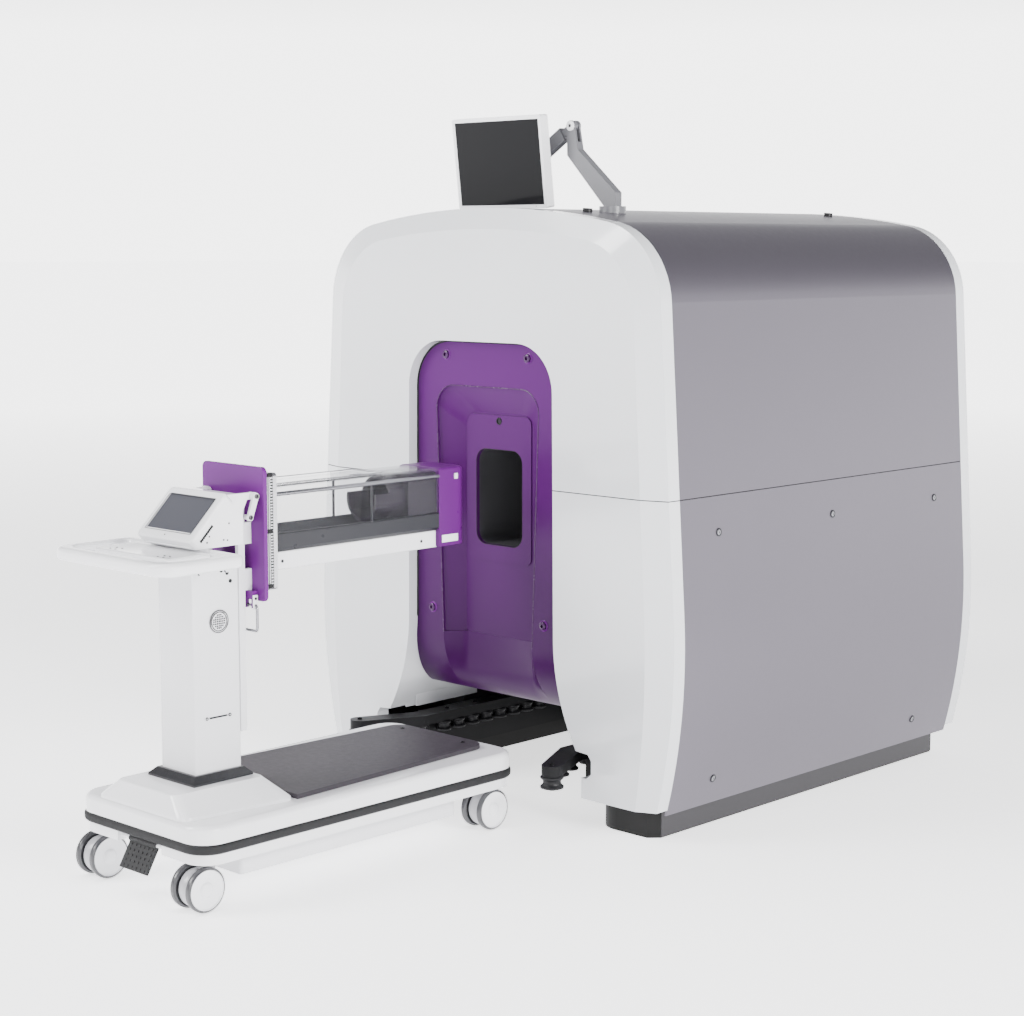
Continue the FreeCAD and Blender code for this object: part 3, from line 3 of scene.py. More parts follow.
import bmesh
import bpy
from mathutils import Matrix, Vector


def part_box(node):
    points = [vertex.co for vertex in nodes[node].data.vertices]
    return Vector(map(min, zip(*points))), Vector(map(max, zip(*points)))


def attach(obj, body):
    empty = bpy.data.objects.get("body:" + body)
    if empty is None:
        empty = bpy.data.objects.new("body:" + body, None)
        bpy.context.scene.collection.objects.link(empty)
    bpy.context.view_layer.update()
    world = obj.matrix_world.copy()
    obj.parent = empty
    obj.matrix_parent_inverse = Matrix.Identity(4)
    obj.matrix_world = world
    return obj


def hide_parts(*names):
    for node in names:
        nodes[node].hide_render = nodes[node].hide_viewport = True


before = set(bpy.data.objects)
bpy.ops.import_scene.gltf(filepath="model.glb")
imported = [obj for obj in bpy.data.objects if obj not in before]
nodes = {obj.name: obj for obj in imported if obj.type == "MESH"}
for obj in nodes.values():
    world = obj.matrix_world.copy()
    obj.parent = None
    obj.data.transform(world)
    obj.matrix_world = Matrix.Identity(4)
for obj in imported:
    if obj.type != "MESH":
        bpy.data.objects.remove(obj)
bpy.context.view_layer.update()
bpy.ops.object.select_all(action="DESELECT")


# ------------------------------------------------------------------ finishes

CLOUD_SCALE, POLISH_SCALE, SKIN_SCALE = 2.3, 38.0, 900.0
SKIN_DEPTH = 0.0004


class Val:
    """A socket of a finish that can be used in sums."""

    def __init__(self, finish, socket):
        self.finish = finish
        self.socket = socket

    def sum(self, kind, a, b):
        return self.finish.node("ShaderNodeMath", {"operation": kind}, {0: a, 1: b})[0]

    def __add__(self, other):
        return self.sum("ADD", self, other)

    def __radd__(self, other):
        return self.sum("ADD", other, self)

    def __sub__(self, other):
        return self.sum("SUBTRACT", self, other)

    def __rsub__(self, other):
        return self.sum("SUBTRACT", other, self)

    def __mul__(self, other):
        return self.sum("MULTIPLY", self, other)

    def __rmul__(self, other):
        return self.sum("MULTIPLY", other, self)

    def __truediv__(self, other):
        return self.sum("DIVIDE", self, other)

    def __lt__(self, other):
        return self.sum("LESS_THAN", self, other)

    def __mod__(self, other):
        return self.sum("FLOORED_MODULO", self, other)

    def __abs__(self):
        return self.sum("ABSOLUTE", self, 0)

    def __pow__(self, other):
        return self.sum("POWER", self, other)


class Finish:
    """A material made of nodes around one Principled shader."""

    def __init__(self, name, color, rough, **fixed):
        self.material = bpy.data.materials.new(name)
        self.material.use_nodes = True
        self.tree = self.material.node_tree
        self.shader = self.tree.nodes["Principled BSDF"]
        self.shader.inputs["Base Color"].default_value = (*color, 1)
        self.shader.inputs["Roughness"].default_value = rough
        for socket, value in fixed.items():
            self.shader.inputs[socket.replace("_", " ")].default_value = value
        self.here = self.node("ShaderNodeTexCoord")["Object"]

    def node(self, kind, settings=None, inputs=None):
        """Adds a node and gives its outputs by name or number."""
        made = self.tree.nodes.new(kind)
        for name, value in (settings or {}).items():
            if name == "stops":
                ramp = made.color_ramp.elements
                while len(ramp) < len(value):
                    ramp.new(0.5)
                for stop, (place, shade) in zip(ramp, value):
                    stop.position = place
                    stop.color = (shade, shade, shade, 1)
            else:
                setattr(made, name, value)
        for name, value in (inputs or {}).items():
            if isinstance(value, Val):
                self.tree.links.new(value.socket, made.inputs[name])
            else:
                made.inputs[name].default_value = value
        outputs = {out.name: Val(self, out) for out in made.outputs}
        outputs.update({n: Val(self, out) for n, out in enumerate(made.outputs)})
        return outputs

    def noise(self, scale, detail=2, at=None):
        return self.node("ShaderNodeTexNoise", None,
                         {"Vector": at or self.here, "Scale": scale, "Detail": detail})["Fac"]

    def axes(self, at=None):
        split = self.node("ShaderNodeSeparateXYZ", None, {0: at or self.here})
        return split["X"], split["Y"], split["Z"]

    def ramp(self, value, *stops):
        return self.node("ShaderNodeValToRGB", {"stops": stops}, {0: value})["Color"]

    def mix(self, factor, one, two):
        """Blend of two colours, each a triple or a socket."""
        def full(shade):
            return shade if isinstance(shade, Val) else (*shade, 1)
        return self.node("ShaderNodeMix", {"data_type": "RGBA"},
                         {0: factor, 6: full(one), 7: full(two)})[2]

    def feed(self, **sockets):
        """Links values that change over the surface to the shader's sockets."""
        for name, value in sockets.items():
            self.tree.links.new(value.socket, self.shader.inputs[name.replace("_", " ")])
        return self

    def bump(self, height, strength, distance=0.001):
        """Raises the surface by a height value, over a distance in metres."""
        normal = self.node("ShaderNodeBump", None,
                           {"Height": height, "Strength": strength, "Distance": distance})
        return self.feed(Normal=normal["Normal"])

    def on(self, *names):
        """Gives the finish to CAD nodes or to new pieces."""
        for name in names:
            piece = nodes[name] if isinstance(name, str) else name
            if not piece.material_slots:
                piece.data.materials.append(self.material)
            for place in piece.material_slots:
                place.material = self.material
        return self


def moulded(name, color, shade, rough, **fixed):
    """Moulded or painted surface: faint cloudiness, uneven polish and a fine skin."""
    finish = Finish(name, color, rough, **fixed)
    cloud = finish.noise(CLOUD_SCALE, 4)
    finish.feed(Base_Color=finish.mix(cloud, color, shade),
                Roughness=rough + finish.noise(POLISH_SCALE, 3) * 0.08 - 0.03)
    return finish.bump(finish.noise(SKIN_SCALE, 2), 0.06, SKIN_DEPTH)


def recess_moulding_with_painted_shade():
    """Purple moulding of the recess with painted shade: darker than the shield's purple, and darker still
    towards its foot.
    """
    finish = Finish("recess_purple_moulding", (0.060, 0.006, 0.084), 0.30, Specular_IOR_Level=0.11)
    # painted shade: a ramp on height darkens the purple towards the foot of the recess
    height = finish.ramp(finish.axes()[2] / 2.0, (0.22, 0.0), (0.42, 0.42), (0.70, 1.0))
    cloud = finish.noise(CLOUD_SCALE, 4) * 0.15
    # the dark end of this mix is painted shade at the foot; the cloud adds random tone
    finish.feed(Base_Color=finish.mix(height + cloud, (0.028, 0.0024, 0.040), (0.066, 0.0066, 0.096)),
                Roughness=0.28 + finish.noise(POLISH_SCALE, 3) * 0.08)
    return finish.bump(finish.noise(300.0, 2), 0.04, SKIN_DEPTH)


white_gloss = moulded("white_moulding", (0.60, 0.61, 0.63), (0.57, 0.58, 0.60), 0.12,
                      Coat_Weight=0.5, Coat_Roughness=0.08)
white_trolley = moulded("white_trolley_plastic", (0.79, 0.79, 0.81), (0.75, 0.75, 0.77), 0.16,
                        Coat_Weight=0.3, Coat_Roughness=0.12)
recess_purple_painted_shade = recess_moulding_with_painted_shade()
white_paint = moulded("white_powder_coat", (0.68, 0.68, 0.70), (0.64, 0.64, 0.66), 0.30)
arm_paint = moulded("arm_grey_coat", (0.12, 0.12, 0.13), (0.105, 0.105, 0.115), 0.30)
purple_gloss = moulded("purple_moulding", (0.108, 0.012, 0.152), (0.094, 0.010, 0.134), 0.24,
                      Specular_IOR_Level=0.12, Coat_Weight=0.05, Coat_Roughness=0.16)
cap_purple = moulded("end_cap_moulding", (0.086, 0.009, 0.120), (0.076, 0.008, 0.108), 0.28,
                    Specular_IOR_Level=0.16)
purple_dark = moulded("purple_screw_coat", (0.040, 0.006, 0.056), (0.034, 0.005, 0.048), 0.26,
                      Specular_IOR_Level=0.3)
dark_paint = moulded("dark_powder_coat", (0.009, 0.009, 0.0098), (0.007, 0.007, 0.0077), 0.34,
                     Specular_IOR_Level=0.10)
plinth_paint = moulded("plinth_coat", (0.010, 0.010, 0.010), (0.007, 0.007, 0.007), 0.46,
                       Specular_IOR_Level=0.15)
tray_plastic = moulded("grey_tray_plastic", (0.022, 0.022, 0.026), (0.017, 0.017, 0.021), 0.28,
                       Specular_IOR_Level=0.3)
caster_plastic = moulded("caster_grey_plastic", (0.42, 0.42, 0.44), (0.34, 0.34, 0.36), 0.22)
hidden_steel = moulded("hidden_steel", (0.20, 0.20, 0.21), (0.14, 0.14, 0.15), 0.5)
hidden_resin = moulded("cast_resin", (0.30, 0.19, 0.07), (0.24, 0.15, 0.05), 0.5)
# painted shade: the bore lining is coloured near black, standing in for the shade deep inside the bore
dark_liner_painted_shade = moulded("bore_lining_painted_shade", (0.050, 0.050, 0.054), (0.040, 0.040, 0.044), 0.35)


def lilac_metal():
    """Lilac-grey metallic paint with a fine flake."""
    color, shade = (0.124, 0.112, 0.137), (0.111, 0.100, 0.123)
    finish = Finish("lilac_grey_metallic_paint", color, 0.34, Metallic=0.80,
                    Coat_Weight=0.2, Coat_Roughness=0.22)
    flake = finish.node("ShaderNodeTexVoronoi", None,
                        {"Vector": finish.here, "Scale": 1400.0})["Distance"]
    base = finish.mix(finish.noise(1.6, 3), color, shade)
    finish.feed(Base_Color=finish.mix(flake * 0.35, base, (0.165, 0.157, 0.180)),
                Roughness=0.33 + finish.noise(55.0, 3) * 0.08)
    return finish.bump(finish.noise(420.0, 2), 0.05, 0.0004)


def rubber(name, color, shade):
    """Matt rubber with a pebbled skin."""
    finish = Finish(name, color, 0.62, Specular_IOR_Level=0.2)
    finish.feed(Base_Color=finish.mix(finish.noise(14.0, 5), color, shade),
                Roughness=0.54 + finish.noise(70.0, 3) * 0.2)
    return finish.bump(finish.noise(650.0, 3), 0.25, 0.0006)


def ribbed_mat():
    """Grey foot mat with fine lengthwise ribs."""
    color, shade = (0.042, 0.037, 0.044), (0.034, 0.030, 0.036)
    finish = Finish("ribbed_grey_mat", color, 0.5, Specular_IOR_Level=0.2)
    across, along, up = finish.axes()
    rib = abs((across * 250.0) % 1.0 - 0.5) * 2.0
    finish.feed(Base_Color=finish.mix(finish.noise(9.0, 5), color, shade),
                Roughness=0.46 + finish.noise(60.0, 3) * 0.12)
    return finish.bump(rib + finish.noise(500.0, 2) * 0.6, 0.22, 0.0006)


def brushed(name, color, rough, axis="X"):
    """Metal with short brushed streaks along one axis."""
    finish = Finish(name, color, rough, Metallic=1.0)
    along, across = 14.0, 900.0
    scale = {"X": (along, across, across), "Y": (across, along, across),
             "Z": (across, across, along)}[axis]
    stretched = finish.node("ShaderNodeMapping", None,
                            {"Vector": finish.here, "Scale": scale})["Vector"]
    streak = finish.noise(1.0, 4, stretched)
    dull = tuple(0.8 * part for part in color)
    finish.feed(Base_Color=finish.mix(streak, dull, color), Roughness=rough - 0.06 + streak * 0.14)
    return finish.bump(streak, 0.08, 0.0003)


def clear_plastic(name, tint, alpha):
    """Clear sheet with a faint haze, which closes up where it is seen edge on."""
    finish = Finish(name, tint, 0.05, Specular_IOR_Level=1.0, Coat_Weight=1.0, Coat_Roughness=0.03)
    haze = finish.noise(7.0, 4)
    edge = finish.node("ShaderNodeLayerWeight", None, {"Blend": 0.5})["Facing"]
    finish.feed(Alpha=alpha + haze * 0.03 + edge * edge * edge * 0.55, Roughness=0.04 + haze * 0.05)
    finish.material.surface_render_method = "BLENDED"
    return finish.bump(finish.noise(11.0, 2), 0.02, 0.0005)


def dark_glass(name, top, low, rough=0.09):
    """Switched-off screen with a soft change of tone and faint wiping marks."""
    finish = Finish(name, top, rough, Specular_IOR_Level=0.10)
    sweep = finish.ramp(finish.noise(0.9, 1), (0.35, 0.0), (0.65, 1.0))
    finish.feed(Base_Color=finish.mix(sweep, low, top), Roughness=rough + finish.noise(26.0, 4) * 0.06)
    return finish


lilac = lilac_metal()
bumper_rubber = rubber("bumper_rubber", (0.012, 0.012, 0.013), (0.017, 0.017, 0.018))
seal_rubber = rubber("seam_rubber", (0.008, 0.008, 0.009), (0.012, 0.012, 0.013))
tyre_plastic = moulded("tyre_polyurethane", (0.060, 0.060, 0.065), (0.048, 0.048, 0.052), 0.22)
pedal_rubber = rubber("pedal_rubber", (0.020, 0.020, 0.021), (0.030, 0.030, 0.031))
mat_rubber = ribbed_mat()
bright_steel = brushed("bright_steel", (0.30, 0.30, 0.32), 0.26)
strip_steel = brushed("brushed_strip", (0.072, 0.070, 0.074), 0.42, "Y")
contact_metal = brushed("contact_strip_metal", (0.60, 0.60, 0.62), 0.25, "Z")
clear_wall = clear_plastic("clear_capsule_plastic", (0.20, 0.20, 0.22), 0.016)
clear_lid = clear_plastic("clear_lid_plastic", (0.24, 0.25, 0.27), 0.022)
screen_glass = dark_glass("monitor_glass", (0.006, 0.006, 0.007), (0.004, 0.004, 0.005), 0.06)
console_glass = dark_glass("console_glass", (0.070, 0.071, 0.083), (0.050, 0.051, 0.060), 0.14)
lens_glass = dark_glass("lens_glass", (0.012, 0.012, 0.016), (0.02, 0.02, 0.026), 0.04)
coil_plastic = moulded("dark_coil_moulding", (0.008, 0.005, 0.010), (0.011, 0.007, 0.014), 0.20,
                       Specular_IOR_Level=0.22)
black_plastic = moulded("black_plastic", (0.007, 0.007, 0.008), (0.011, 0.011, 0.012), 0.4,
                        Specular_IOR_Level=0.2)
collar_plastic = moulded("collar_plastic", (0.016, 0.016, 0.018), (0.012, 0.012, 0.014), 0.20)

white_gloss.on("front_cover_upper", "front_cover_lower", "rear_cover")
lilac.on("top_shell", "side_panel_left", "side_panel_right")
# painted shade: the recess gets a darker copy of the shield's purple
recess_purple_painted_shade.on("recess_surround", "recess_niche")
purple_gloss.on("shield_panel")
cap_purple.on("end_cap")
plinth_paint.on("base_frame")
strip_steel.on("plinth_strips")
hidden_steel.on("magnet_yoke", "magnet_poles")
hidden_resin.on("gradient_coils")
# painted shade: near-black lining in place of the shade inside the bore
dark_liner_painted_shade.on("bore_liner")
seal_rubber.on("seam_gasket")
lens_glass.on("niche_lens")
bright_steel.on("case_screws", "latch_loop")
black_plastic.on("roof_caps")
collar_plastic.on("column_collar")
dark_paint.on("docking_rail_left", "docking_rail_right", "docking_rollers")
arm_paint.on("arm_base", "arm_lower", "arm_upper", "arm_wrist")
white_paint.on("column_fittings", "keel_box", "column", "column_rail")
white_trolley.on("cradle_beam", "monitor_body", "deck", "foot_cover", "handle", "console", "end_cap_button")
screen_glass.on("monitor_screen")
console_glass.on("console_screen")
bumper_rubber.on("bumper_band")
mat_rubber.on("step_mat")
contact_metal.on("seal_flange")
tray_plastic.on("cradle_tray")
clear_wall.on("capsule")
clear_lid.on("capsule_lid")
coil_plastic.on("head_coil")
pedal_rubber.on("foot_pedal")
corners = ("near_right", "near_left", "far_right", "far_left")
for corner in corners:
    caster_plastic.on("caster_" + corner)
    tyre_plastic.on("wheels_" + corner)


# ------------------------------------------------------------------ modelling tools

def start_edit(piece):
    """Opens a piece for editing by faces, with nothing selected."""
    bpy.ops.object.select_all(action="DESELECT")
    piece.select_set(True)
    bpy.context.view_layer.objects.active = piece
    bpy.ops.object.mode_set(mode="EDIT")
    bpy.ops.mesh.select_mode(type="FACE")
    bpy.ops.mesh.select_all(action="DESELECT")


def end_edit():
    bpy.ops.object.mode_set(mode="OBJECT")


def pick_faces(piece, test):
    """Selects the faces whose normal passes a test."""
    mesh = bmesh.from_edit_mesh(piece.data)
    for face in mesh.faces:
        face.select_set(bool(test(face.normal)))
    mesh.select_flush_mode()
    bmesh.update_edit_mesh(piece.data)


def settle(piece):
    """Puts a piece's place into its mesh, with its object at the origin."""
    bpy.ops.object.select_all(action="DESELECT")
    piece.select_set(True)
    bpy.context.view_layer.objects.active = piece
    bpy.ops.object.transform_apply(location=True, rotation=True, scale=True)


def add_modifier(piece, kind, **settings):
    """Adds a modifier and applies it at once."""
    extra = piece.modifiers.new(kind.title(), kind)
    for name, value in settings.items():
        setattr(extra, name, value)
    bpy.context.view_layer.objects.active = piece
    bpy.ops.object.modifier_apply(modifier=extra.name)


def smooth(piece, angle):
    """Shades a piece smooth, apart from edges sharper than an angle in degrees."""
    bpy.ops.object.select_all(action="DESELECT")
    piece.select_set(True)
    bpy.context.view_layer.objects.active = piece
    bpy.ops.object.shade_smooth_by_angle(angle=math.radians(angle))


def done(piece, name, body, finish, angle=35):
    """Names a finished piece, gives it its finish and sets it on its body."""
    piece.name = name
    smooth(piece, angle)
    finish.on(piece)
    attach(piece, body)
    return piece


def block(low, high):
    """Cube at a place and size, ready to be shaped."""
    low, high = Vector(low), Vector(high)
    bpy.ops.mesh.primitive_cube_add(size=1, location=(low + high) / 2)
    piece = bpy.context.object
    piece.scale = high - low
    settle(piece)
    return piece


def rounded(low, high, radius, steps=3):
    """Block with all its edges rounded."""
    piece = block(low, high)
    add_modifier(piece, "BEVEL", width=radius, segments=steps, limit_method="NONE")
    return piece


def lathe(profile, at, axis="X", steps=48):
    """Turned piece: the profile is (distance along the axis, radius). A ring's profile is closed."""
    mesh = bpy.data.meshes.new("turned")
    if profile[0][1] > 0 and profile[-1][1] > 0:
        profile = profile + profile[:1]
    points = [(along, radius, 0.0) for along, radius in profile]
    mesh.from_pydata(points, [(n, n + 1) for n in range(len(points) - 1)], [])
    piece = bpy.data.objects.new("turned", mesh)
    bpy.context.collection.objects.link(piece)
    start_edit(piece)
    bpy.ops.mesh.select_all(action="SELECT")
    bpy.ops.mesh.spin(steps=steps, angle=2 * math.pi, center=(0, 0, 0), axis=(1, 0, 0))
    bpy.ops.mesh.select_all(action="SELECT")
    bpy.ops.mesh.remove_doubles(threshold=0.00001)
    bpy.ops.mesh.normals_make_consistent(inside=False)
    end_edit()
    turn = {"X": (0, 0, 0), "Y": (0, 0, math.pi / 2), "Z": (0, -math.pi / 2, 0)}[axis]
    piece.rotation_euler = turn
    piece.location = at
    settle(piece)
    return piece


def twin_of(piece):
    """A copy with its own mesh."""
    twin = piece.copy()
    twin.data = piece.data.copy()
    bpy.context.collection.objects.link(twin)
    return twin


def copy_to(piece, shift):
    """A copy with its own mesh, moved."""
    twin = twin_of(piece)
    twin.location = shift
    settle(twin)
    return twin


def join(pieces):
    """Makes one piece of several."""
    bpy.ops.object.select_all(action="DESELECT")
    for piece in pieces:
        piece.select_set(True)
    bpy.context.view_layer.objects.active = pieces[0]
    if len(pieces) > 1:
        bpy.ops.object.join()
    return bpy.context.object


# ------------------------------------------------------------------ caster wheels

RIM_SHARE, HUB_SHARE = 0.90, 0.30


def wheel_profile(radius, half):
    """Half of a wheel's section, from its outer face to its inner face."""
    rim, hub = radius * RIM_SHARE, radius * HUB_SHARE
    return [(half - 0.0015, 0.0), (half - 0.0015, hub * 0.8), (half - 0.003, hub),
            (half - 0.0065, hub + 0.003), (half - 0.008, rim * 0.62), (half - 0.0055, rim - 0.004),
            (half - 0.001, rim), (half, rim + 0.0008), (half - 0.001, radius - 0.005),
            (half - 0.005, radius - 0.0006), (half - 0.010, radius),
            (-half + 0.010, radius), (-half + 0.005, radius - 0.0006),
            (-half + 0.001, radius - 0.005), (-half, rim), (-half + 0.004, rim - 0.006),
            (-half + 0.004, hub), (-half, hub - 0.002), (-half, 0.0)]


def hub_profile(radius, half):
    """Half of the white disc's section, which stands a little proud of the wheel."""
    rim, hub = radius * RIM_SHARE, radius * HUB_SHARE
    face = half + 0.0006
    return [(face - 0.0015, 0.0), (face - 0.0015, hub * 0.8), (face - 0.003, hub),
            (face - 0.0065, hub + 0.003), (face - 0.008, rim * 0.62), (face - 0.0055, rim - 0.004),
            (face - 0.002, rim - 0.001), (half - 0.004, rim - 0.001),
            (half - 0.011, rim * 0.5), (half - 0.011, 0.0)]


for corner in corners:
    low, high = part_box("wheels_" + corner)
    centre = (Vector(low) + Vector(high)) / 2
    radius = (high[2] - low[2]) / 2
    half = 0.0110
    out = (high[0] - low[0]) / 2 - half
    axle_radius = 0.0075
    tyres, hubs = [], []
    for way in (1, -1):
        profile = [(way * along, across) for along, across in wheel_profile(radius, half)]
        tyres.append(lathe(profile, centre + Vector((way * out, 0, 0))))
        profile = [(way * along, across) for along, across in hub_profile(radius, half)]
        hubs.append(lathe(profile, centre + Vector((way * out, 0, 0))))
    axle = lathe([(-out, 0.0), (-out, axle_radius), (out, axle_radius), (out, 0.0)], centre, steps=24)
    tyre = done(join(tyres), "tyres_" + corner, "wheel_body_" + corner, tyre_plastic)
    hub = done(join(hubs), "hubs_" + corner, "wheel_body_" + corner, white_trolley)
    bar = done(axle, "axle_" + corner, "wheel_body_" + corner, bright_steel)
    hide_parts("wheels_" + corner)
    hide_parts("wheels_" + corner)
    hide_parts("wheels_" + corner)

# ------------------------------------------------------------------ small parts

def hoop(points, radius, closed=True, sides=3):
    """Round rod along a line of points."""
    line = bpy.data.curves.new("rod", "CURVE")
    line.dimensions = "3D"
    line.bevel_depth = radius
    line.bevel_resolution = sides
    line.use_fill_caps = True
    spline = line.splines.new("POLY")
    spline.points.add(len(points) - 1)
    for spot, place in zip(spline.points, points):
        spot.co = (*place, 1)
    spline.use_cyclic_u = closed
    piece = bpy.data.objects.new("rod", line)
    bpy.context.collection.objects.link(piece)
    bpy.ops.object.select_all(action="DESELECT")
    piece.select_set(True)
    bpy.context.view_layer.objects.active = piece
    bpy.ops.object.convert(target="MESH")
    return bpy.context.object


def round_frame(half, low, high, corner, at, steps=8):
    """Points round an upright rectangle with rounded corners; at turns (across, z) to a place."""
    points = []
    middles = ((half - corner, high - corner, 0), (-half + corner, high - corner, 90),
               (-half + corner, low + corner, 180), (half - corner, low + corner, 270))
    for across, z, start in middles:
        for n in range(steps + 1):
            turn = math.radians(start + 90 * n / steps)
            points.append(at(across + corner * math.cos(turn), z + corner * math.sin(turn)))
    return points


def screw_head(radius, tall, socket=0.45):
    """Button head with a socket, standing on the origin and facing +Z."""
    bpy.ops.mesh.primitive_cylinder_add(vertices=24, radius=radius, depth=tall,
                                        location=(0, 0, tall / 2))
    piece = bpy.context.object
    settle(piece)
    start_edit(piece)
    pick_faces(piece, lambda normal: normal.z > 0.9)
    bpy.ops.mesh.inset(thickness=radius * 0.22)
    bpy.ops.transform.translate(value=(0, 0, tall * 0.25))
    bpy.ops.mesh.inset(thickness=radius * (0.78 - socket))
    bpy.ops.mesh.extrude_region_move(TRANSFORM_OT_translate={"value": (0, 0, -tall * 0.8)})
    end_edit()
    return piece


def point_at(piece, direction, at):
    """Turns a piece that faces +Z to a direction and sets it down."""
    piece.rotation_euler = Vector(direction).to_track_quat("Z", "Y").to_euler()
    piece.location = at
    settle(piece)
    return piece


def screws(spots, radius, tall, name, body, finish):
    """One piece of many screw heads; a spot is a place and the way its head faces."""
    heads = []
    pattern = screw_head(radius, tall)
    for place, direction in spots:
        heads.append(point_at(twin_of(pattern), direction, place))
    bpy.data.objects.remove(pattern)
    return done(join(heads), name, body, finish)


plinth_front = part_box("plinth_strips")[0][1] - 0.030
right, left = 1, -1
sides = (right, left)

# ------------------------------------------------------------------ docking rollers

rail_low, rail_top = 0.188, 0.220
nose_x, nose_reach = 0.432, 0.180
roller_spots = []
for side in sides:
    roller_spots += [(side * 0.324, plinth_front + 0.100 + 0.067 * n) for n in range(8)]
    roller_spots += [(side * 0.368, plinth_front - 0.070), (side * 0.338, plinth_front + 0.005)]
spool_shape = [(-0.038, 0.0), (-0.038, 0.007), (-0.034, 0.008), (-0.034, 0.022), (-0.0325, 0.0255),
               (-0.028, 0.026), (-0.025, 0.0235), (-0.0225, 0.020), (-0.017, 0.0187),
               (-0.0115, 0.020), (-0.009, 0.0235), (-0.006, 0.026), (-0.0015, 0.0255),
               (0.0, 0.022), (0.0, 0.0)]
first = lathe(spool_shape, (0, 0, 0), "Z", 28)
spools = [copy_to(first, (x, y, rail_low)) for x, y in roller_spots]
bpy.data.objects.remove(first)
nose_shape = [(-0.046, 0.0), (-0.046, 0.012), (-0.040, 0.014), (-0.040, 0.031), (-0.038, 0.0355),
              (-0.033, 0.036), (-0.029, 0.031), (-0.024, 0.0275), (-0.017, 0.0275),
              (-0.012, 0.031), (-0.008, 0.0355), (-0.004, 0.036), (-0.001, 0.033), (0.0, 0.026),
              (0.0, 0.0)]
for side in sides:
    spools.append(lathe(nose_shape, (side * nose_x, plinth_front - nose_reach, rail_low), "Z", 40))
roller_set = done(join(spools), "grooved_rollers", "magnet", black_plastic, angle=40)
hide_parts("docking_rollers")
rail_screws = [((side * 0.342, plinth_front + 0.1335 + 0.134 * n, rail_top), (0, 0, 1))
               for side in sides for n in range(4)]
rail_screws += [((side * nose_x, plinth_front - nose_reach, rail_top), (0, 0, 1)) for side in sides]
screws(rail_screws, 0.0075, 0.004, "rail_screws", "magnet", dark_paint)

# ------------------------------------------------------------------ case screws

waist_half, waist_z = 0.774, 0.690
lean = math.radians(3.7)
side_radius, side_mid = 1.881, (-1.103, 0.5686)


def side_spot(side, back, z):
    """Place and outward direction on the side panel at a height."""
    if z > waist_z:
        x = waist_half - (z - waist_z) * math.tan(lean)
        facing = (math.cos(lean), 0, math.sin(lean))
    else:
        rise = z - side_mid[1]
        x = side_mid[0] + math.sqrt(side_radius ** 2 - rise ** 2)
        facing = ((x - side_mid[0]) / side_radius, 0, rise / side_radius)
    return ((side * x, plinth_front + back, z), (side * facing[0], 0, facing[2]))


side_spots = [side_spot(side, back, z) for side in sides
              for back, z in ((0.197, 0.920), (0.782, 0.920), (1.375, 0.920),
                              (0.218, 0.157), (1.314, 0.157))]
rings = []
for place, facing in side_spots:
    ring = lathe([(0.0, 0.0085), (0.0022, 0.0085), (0.0030, 0.0095), (0.0030, 0.0105),
                  (0.0020, 0.0125), (0.0, 0.0128)], (0, 0, 0), "Z", 28)
    rings.append(point_at(ring, facing, place))
done(join(rings), "screw_rings", "magnet", tray_plastic)
deep = screws(side_spots, 0.0083, 0.0016, "side_screws", "magnet", bright_steel)
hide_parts("case_screws")
face_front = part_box("recess_surround")[0][1]
dome_spots = [((side * x, face_front, z), (0, -1, 0)) for side in sides
              for x, z in ((0.179, 1.425), (0.247, 0.598))]
domes = screws(dome_spots, 0.0130, 0.0070, "dome_screws", "magnet", purple_dark)
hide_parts("case_screws")
washers = []
for place, facing in dome_spots:
    washer = lathe([(0.0, 0.012), (0.0016, 0.0125), (0.0022, 0.0150), (0.0012, 0.0175),
                    (0.0, 0.0180)], (0, 0, 0), "Z", 28)
    washers.append(point_at(washer, facing, place))
done(join(washers), "dome_washers", "magnet", purple_gloss)

# ------------------------------------------------------------------ foot of the recess

niche_face = face_front + 0.060
bend_top, rim_low, niche_low_half = 0.520, 0.198, 0.150
flange_curl, niche_curl = 0.230, 0.110
lip_z = bend_top - flange_curl * math.sin(math.radians(60))
curl_start = lip_z + 0.0953


def flange_at(z):
    """How far back the curled flange lies at a height."""
    return face_front + flange_curl - math.sqrt(flange_curl ** 2 - (bend_top - z) ** 2)


def niche_at(z):
    """How far back the foot of the niche lies: straight, then curled to meet the flange."""
    fall = max(curl_start - z, 0.0)
    return niche_face - 0.0006 + niche_curl - math.sqrt(niche_curl ** 2 - fall ** 2)


bpy.ops.mesh.primitive_grid_add(x_subdivisions=5, y_subdivisions=44, size=1)
apron = bpy.context.object
wall_out, wall_in = niche_low_half + 0.012, niche_low_half - 0.012
columns = {-5: (-rim_low, 0.0), -3: (-wall_out, 0.75), -1: (-wall_in, 1.0),
           1: (wall_in, 1.0), 3: (wall_out, 0.75), 5: (rim_low, 0.0)}
apron_top = bend_top + 0.004
start_edit(apron)
sheet = bmesh.from_edit_mesh(apron.data)
for vert in sheet.verts:
    x, depth = columns[round(vert.co.x * 10)]
    z = apron_top - (apron_top - lip_z) * (0.5 - vert.co.y)
    lip = flange_at(min(z, bend_top))
    vert.co = Vector((x, lip + (niche_at(z) - lip) * depth, z))
bmesh.update_edit_mesh(apron.data)
bpy.ops.mesh.select_all(action="SELECT")
bpy.ops.mesh.normals_make_consistent(inside=False)
end_edit()
if sum(face.normal.y for face in apron.data.polygons) > 0:
    start_edit(apron)
    bpy.ops.mesh.select_all(action="SELECT")
    bpy.ops.mesh.flip_normals()
    end_edit()
add_modifier(apron, "SOLIDIFY", thickness=0.005, offset=-1.0)
done(apron, "recess_foot", "magnet", recess_purple_painted_shade, angle=40)

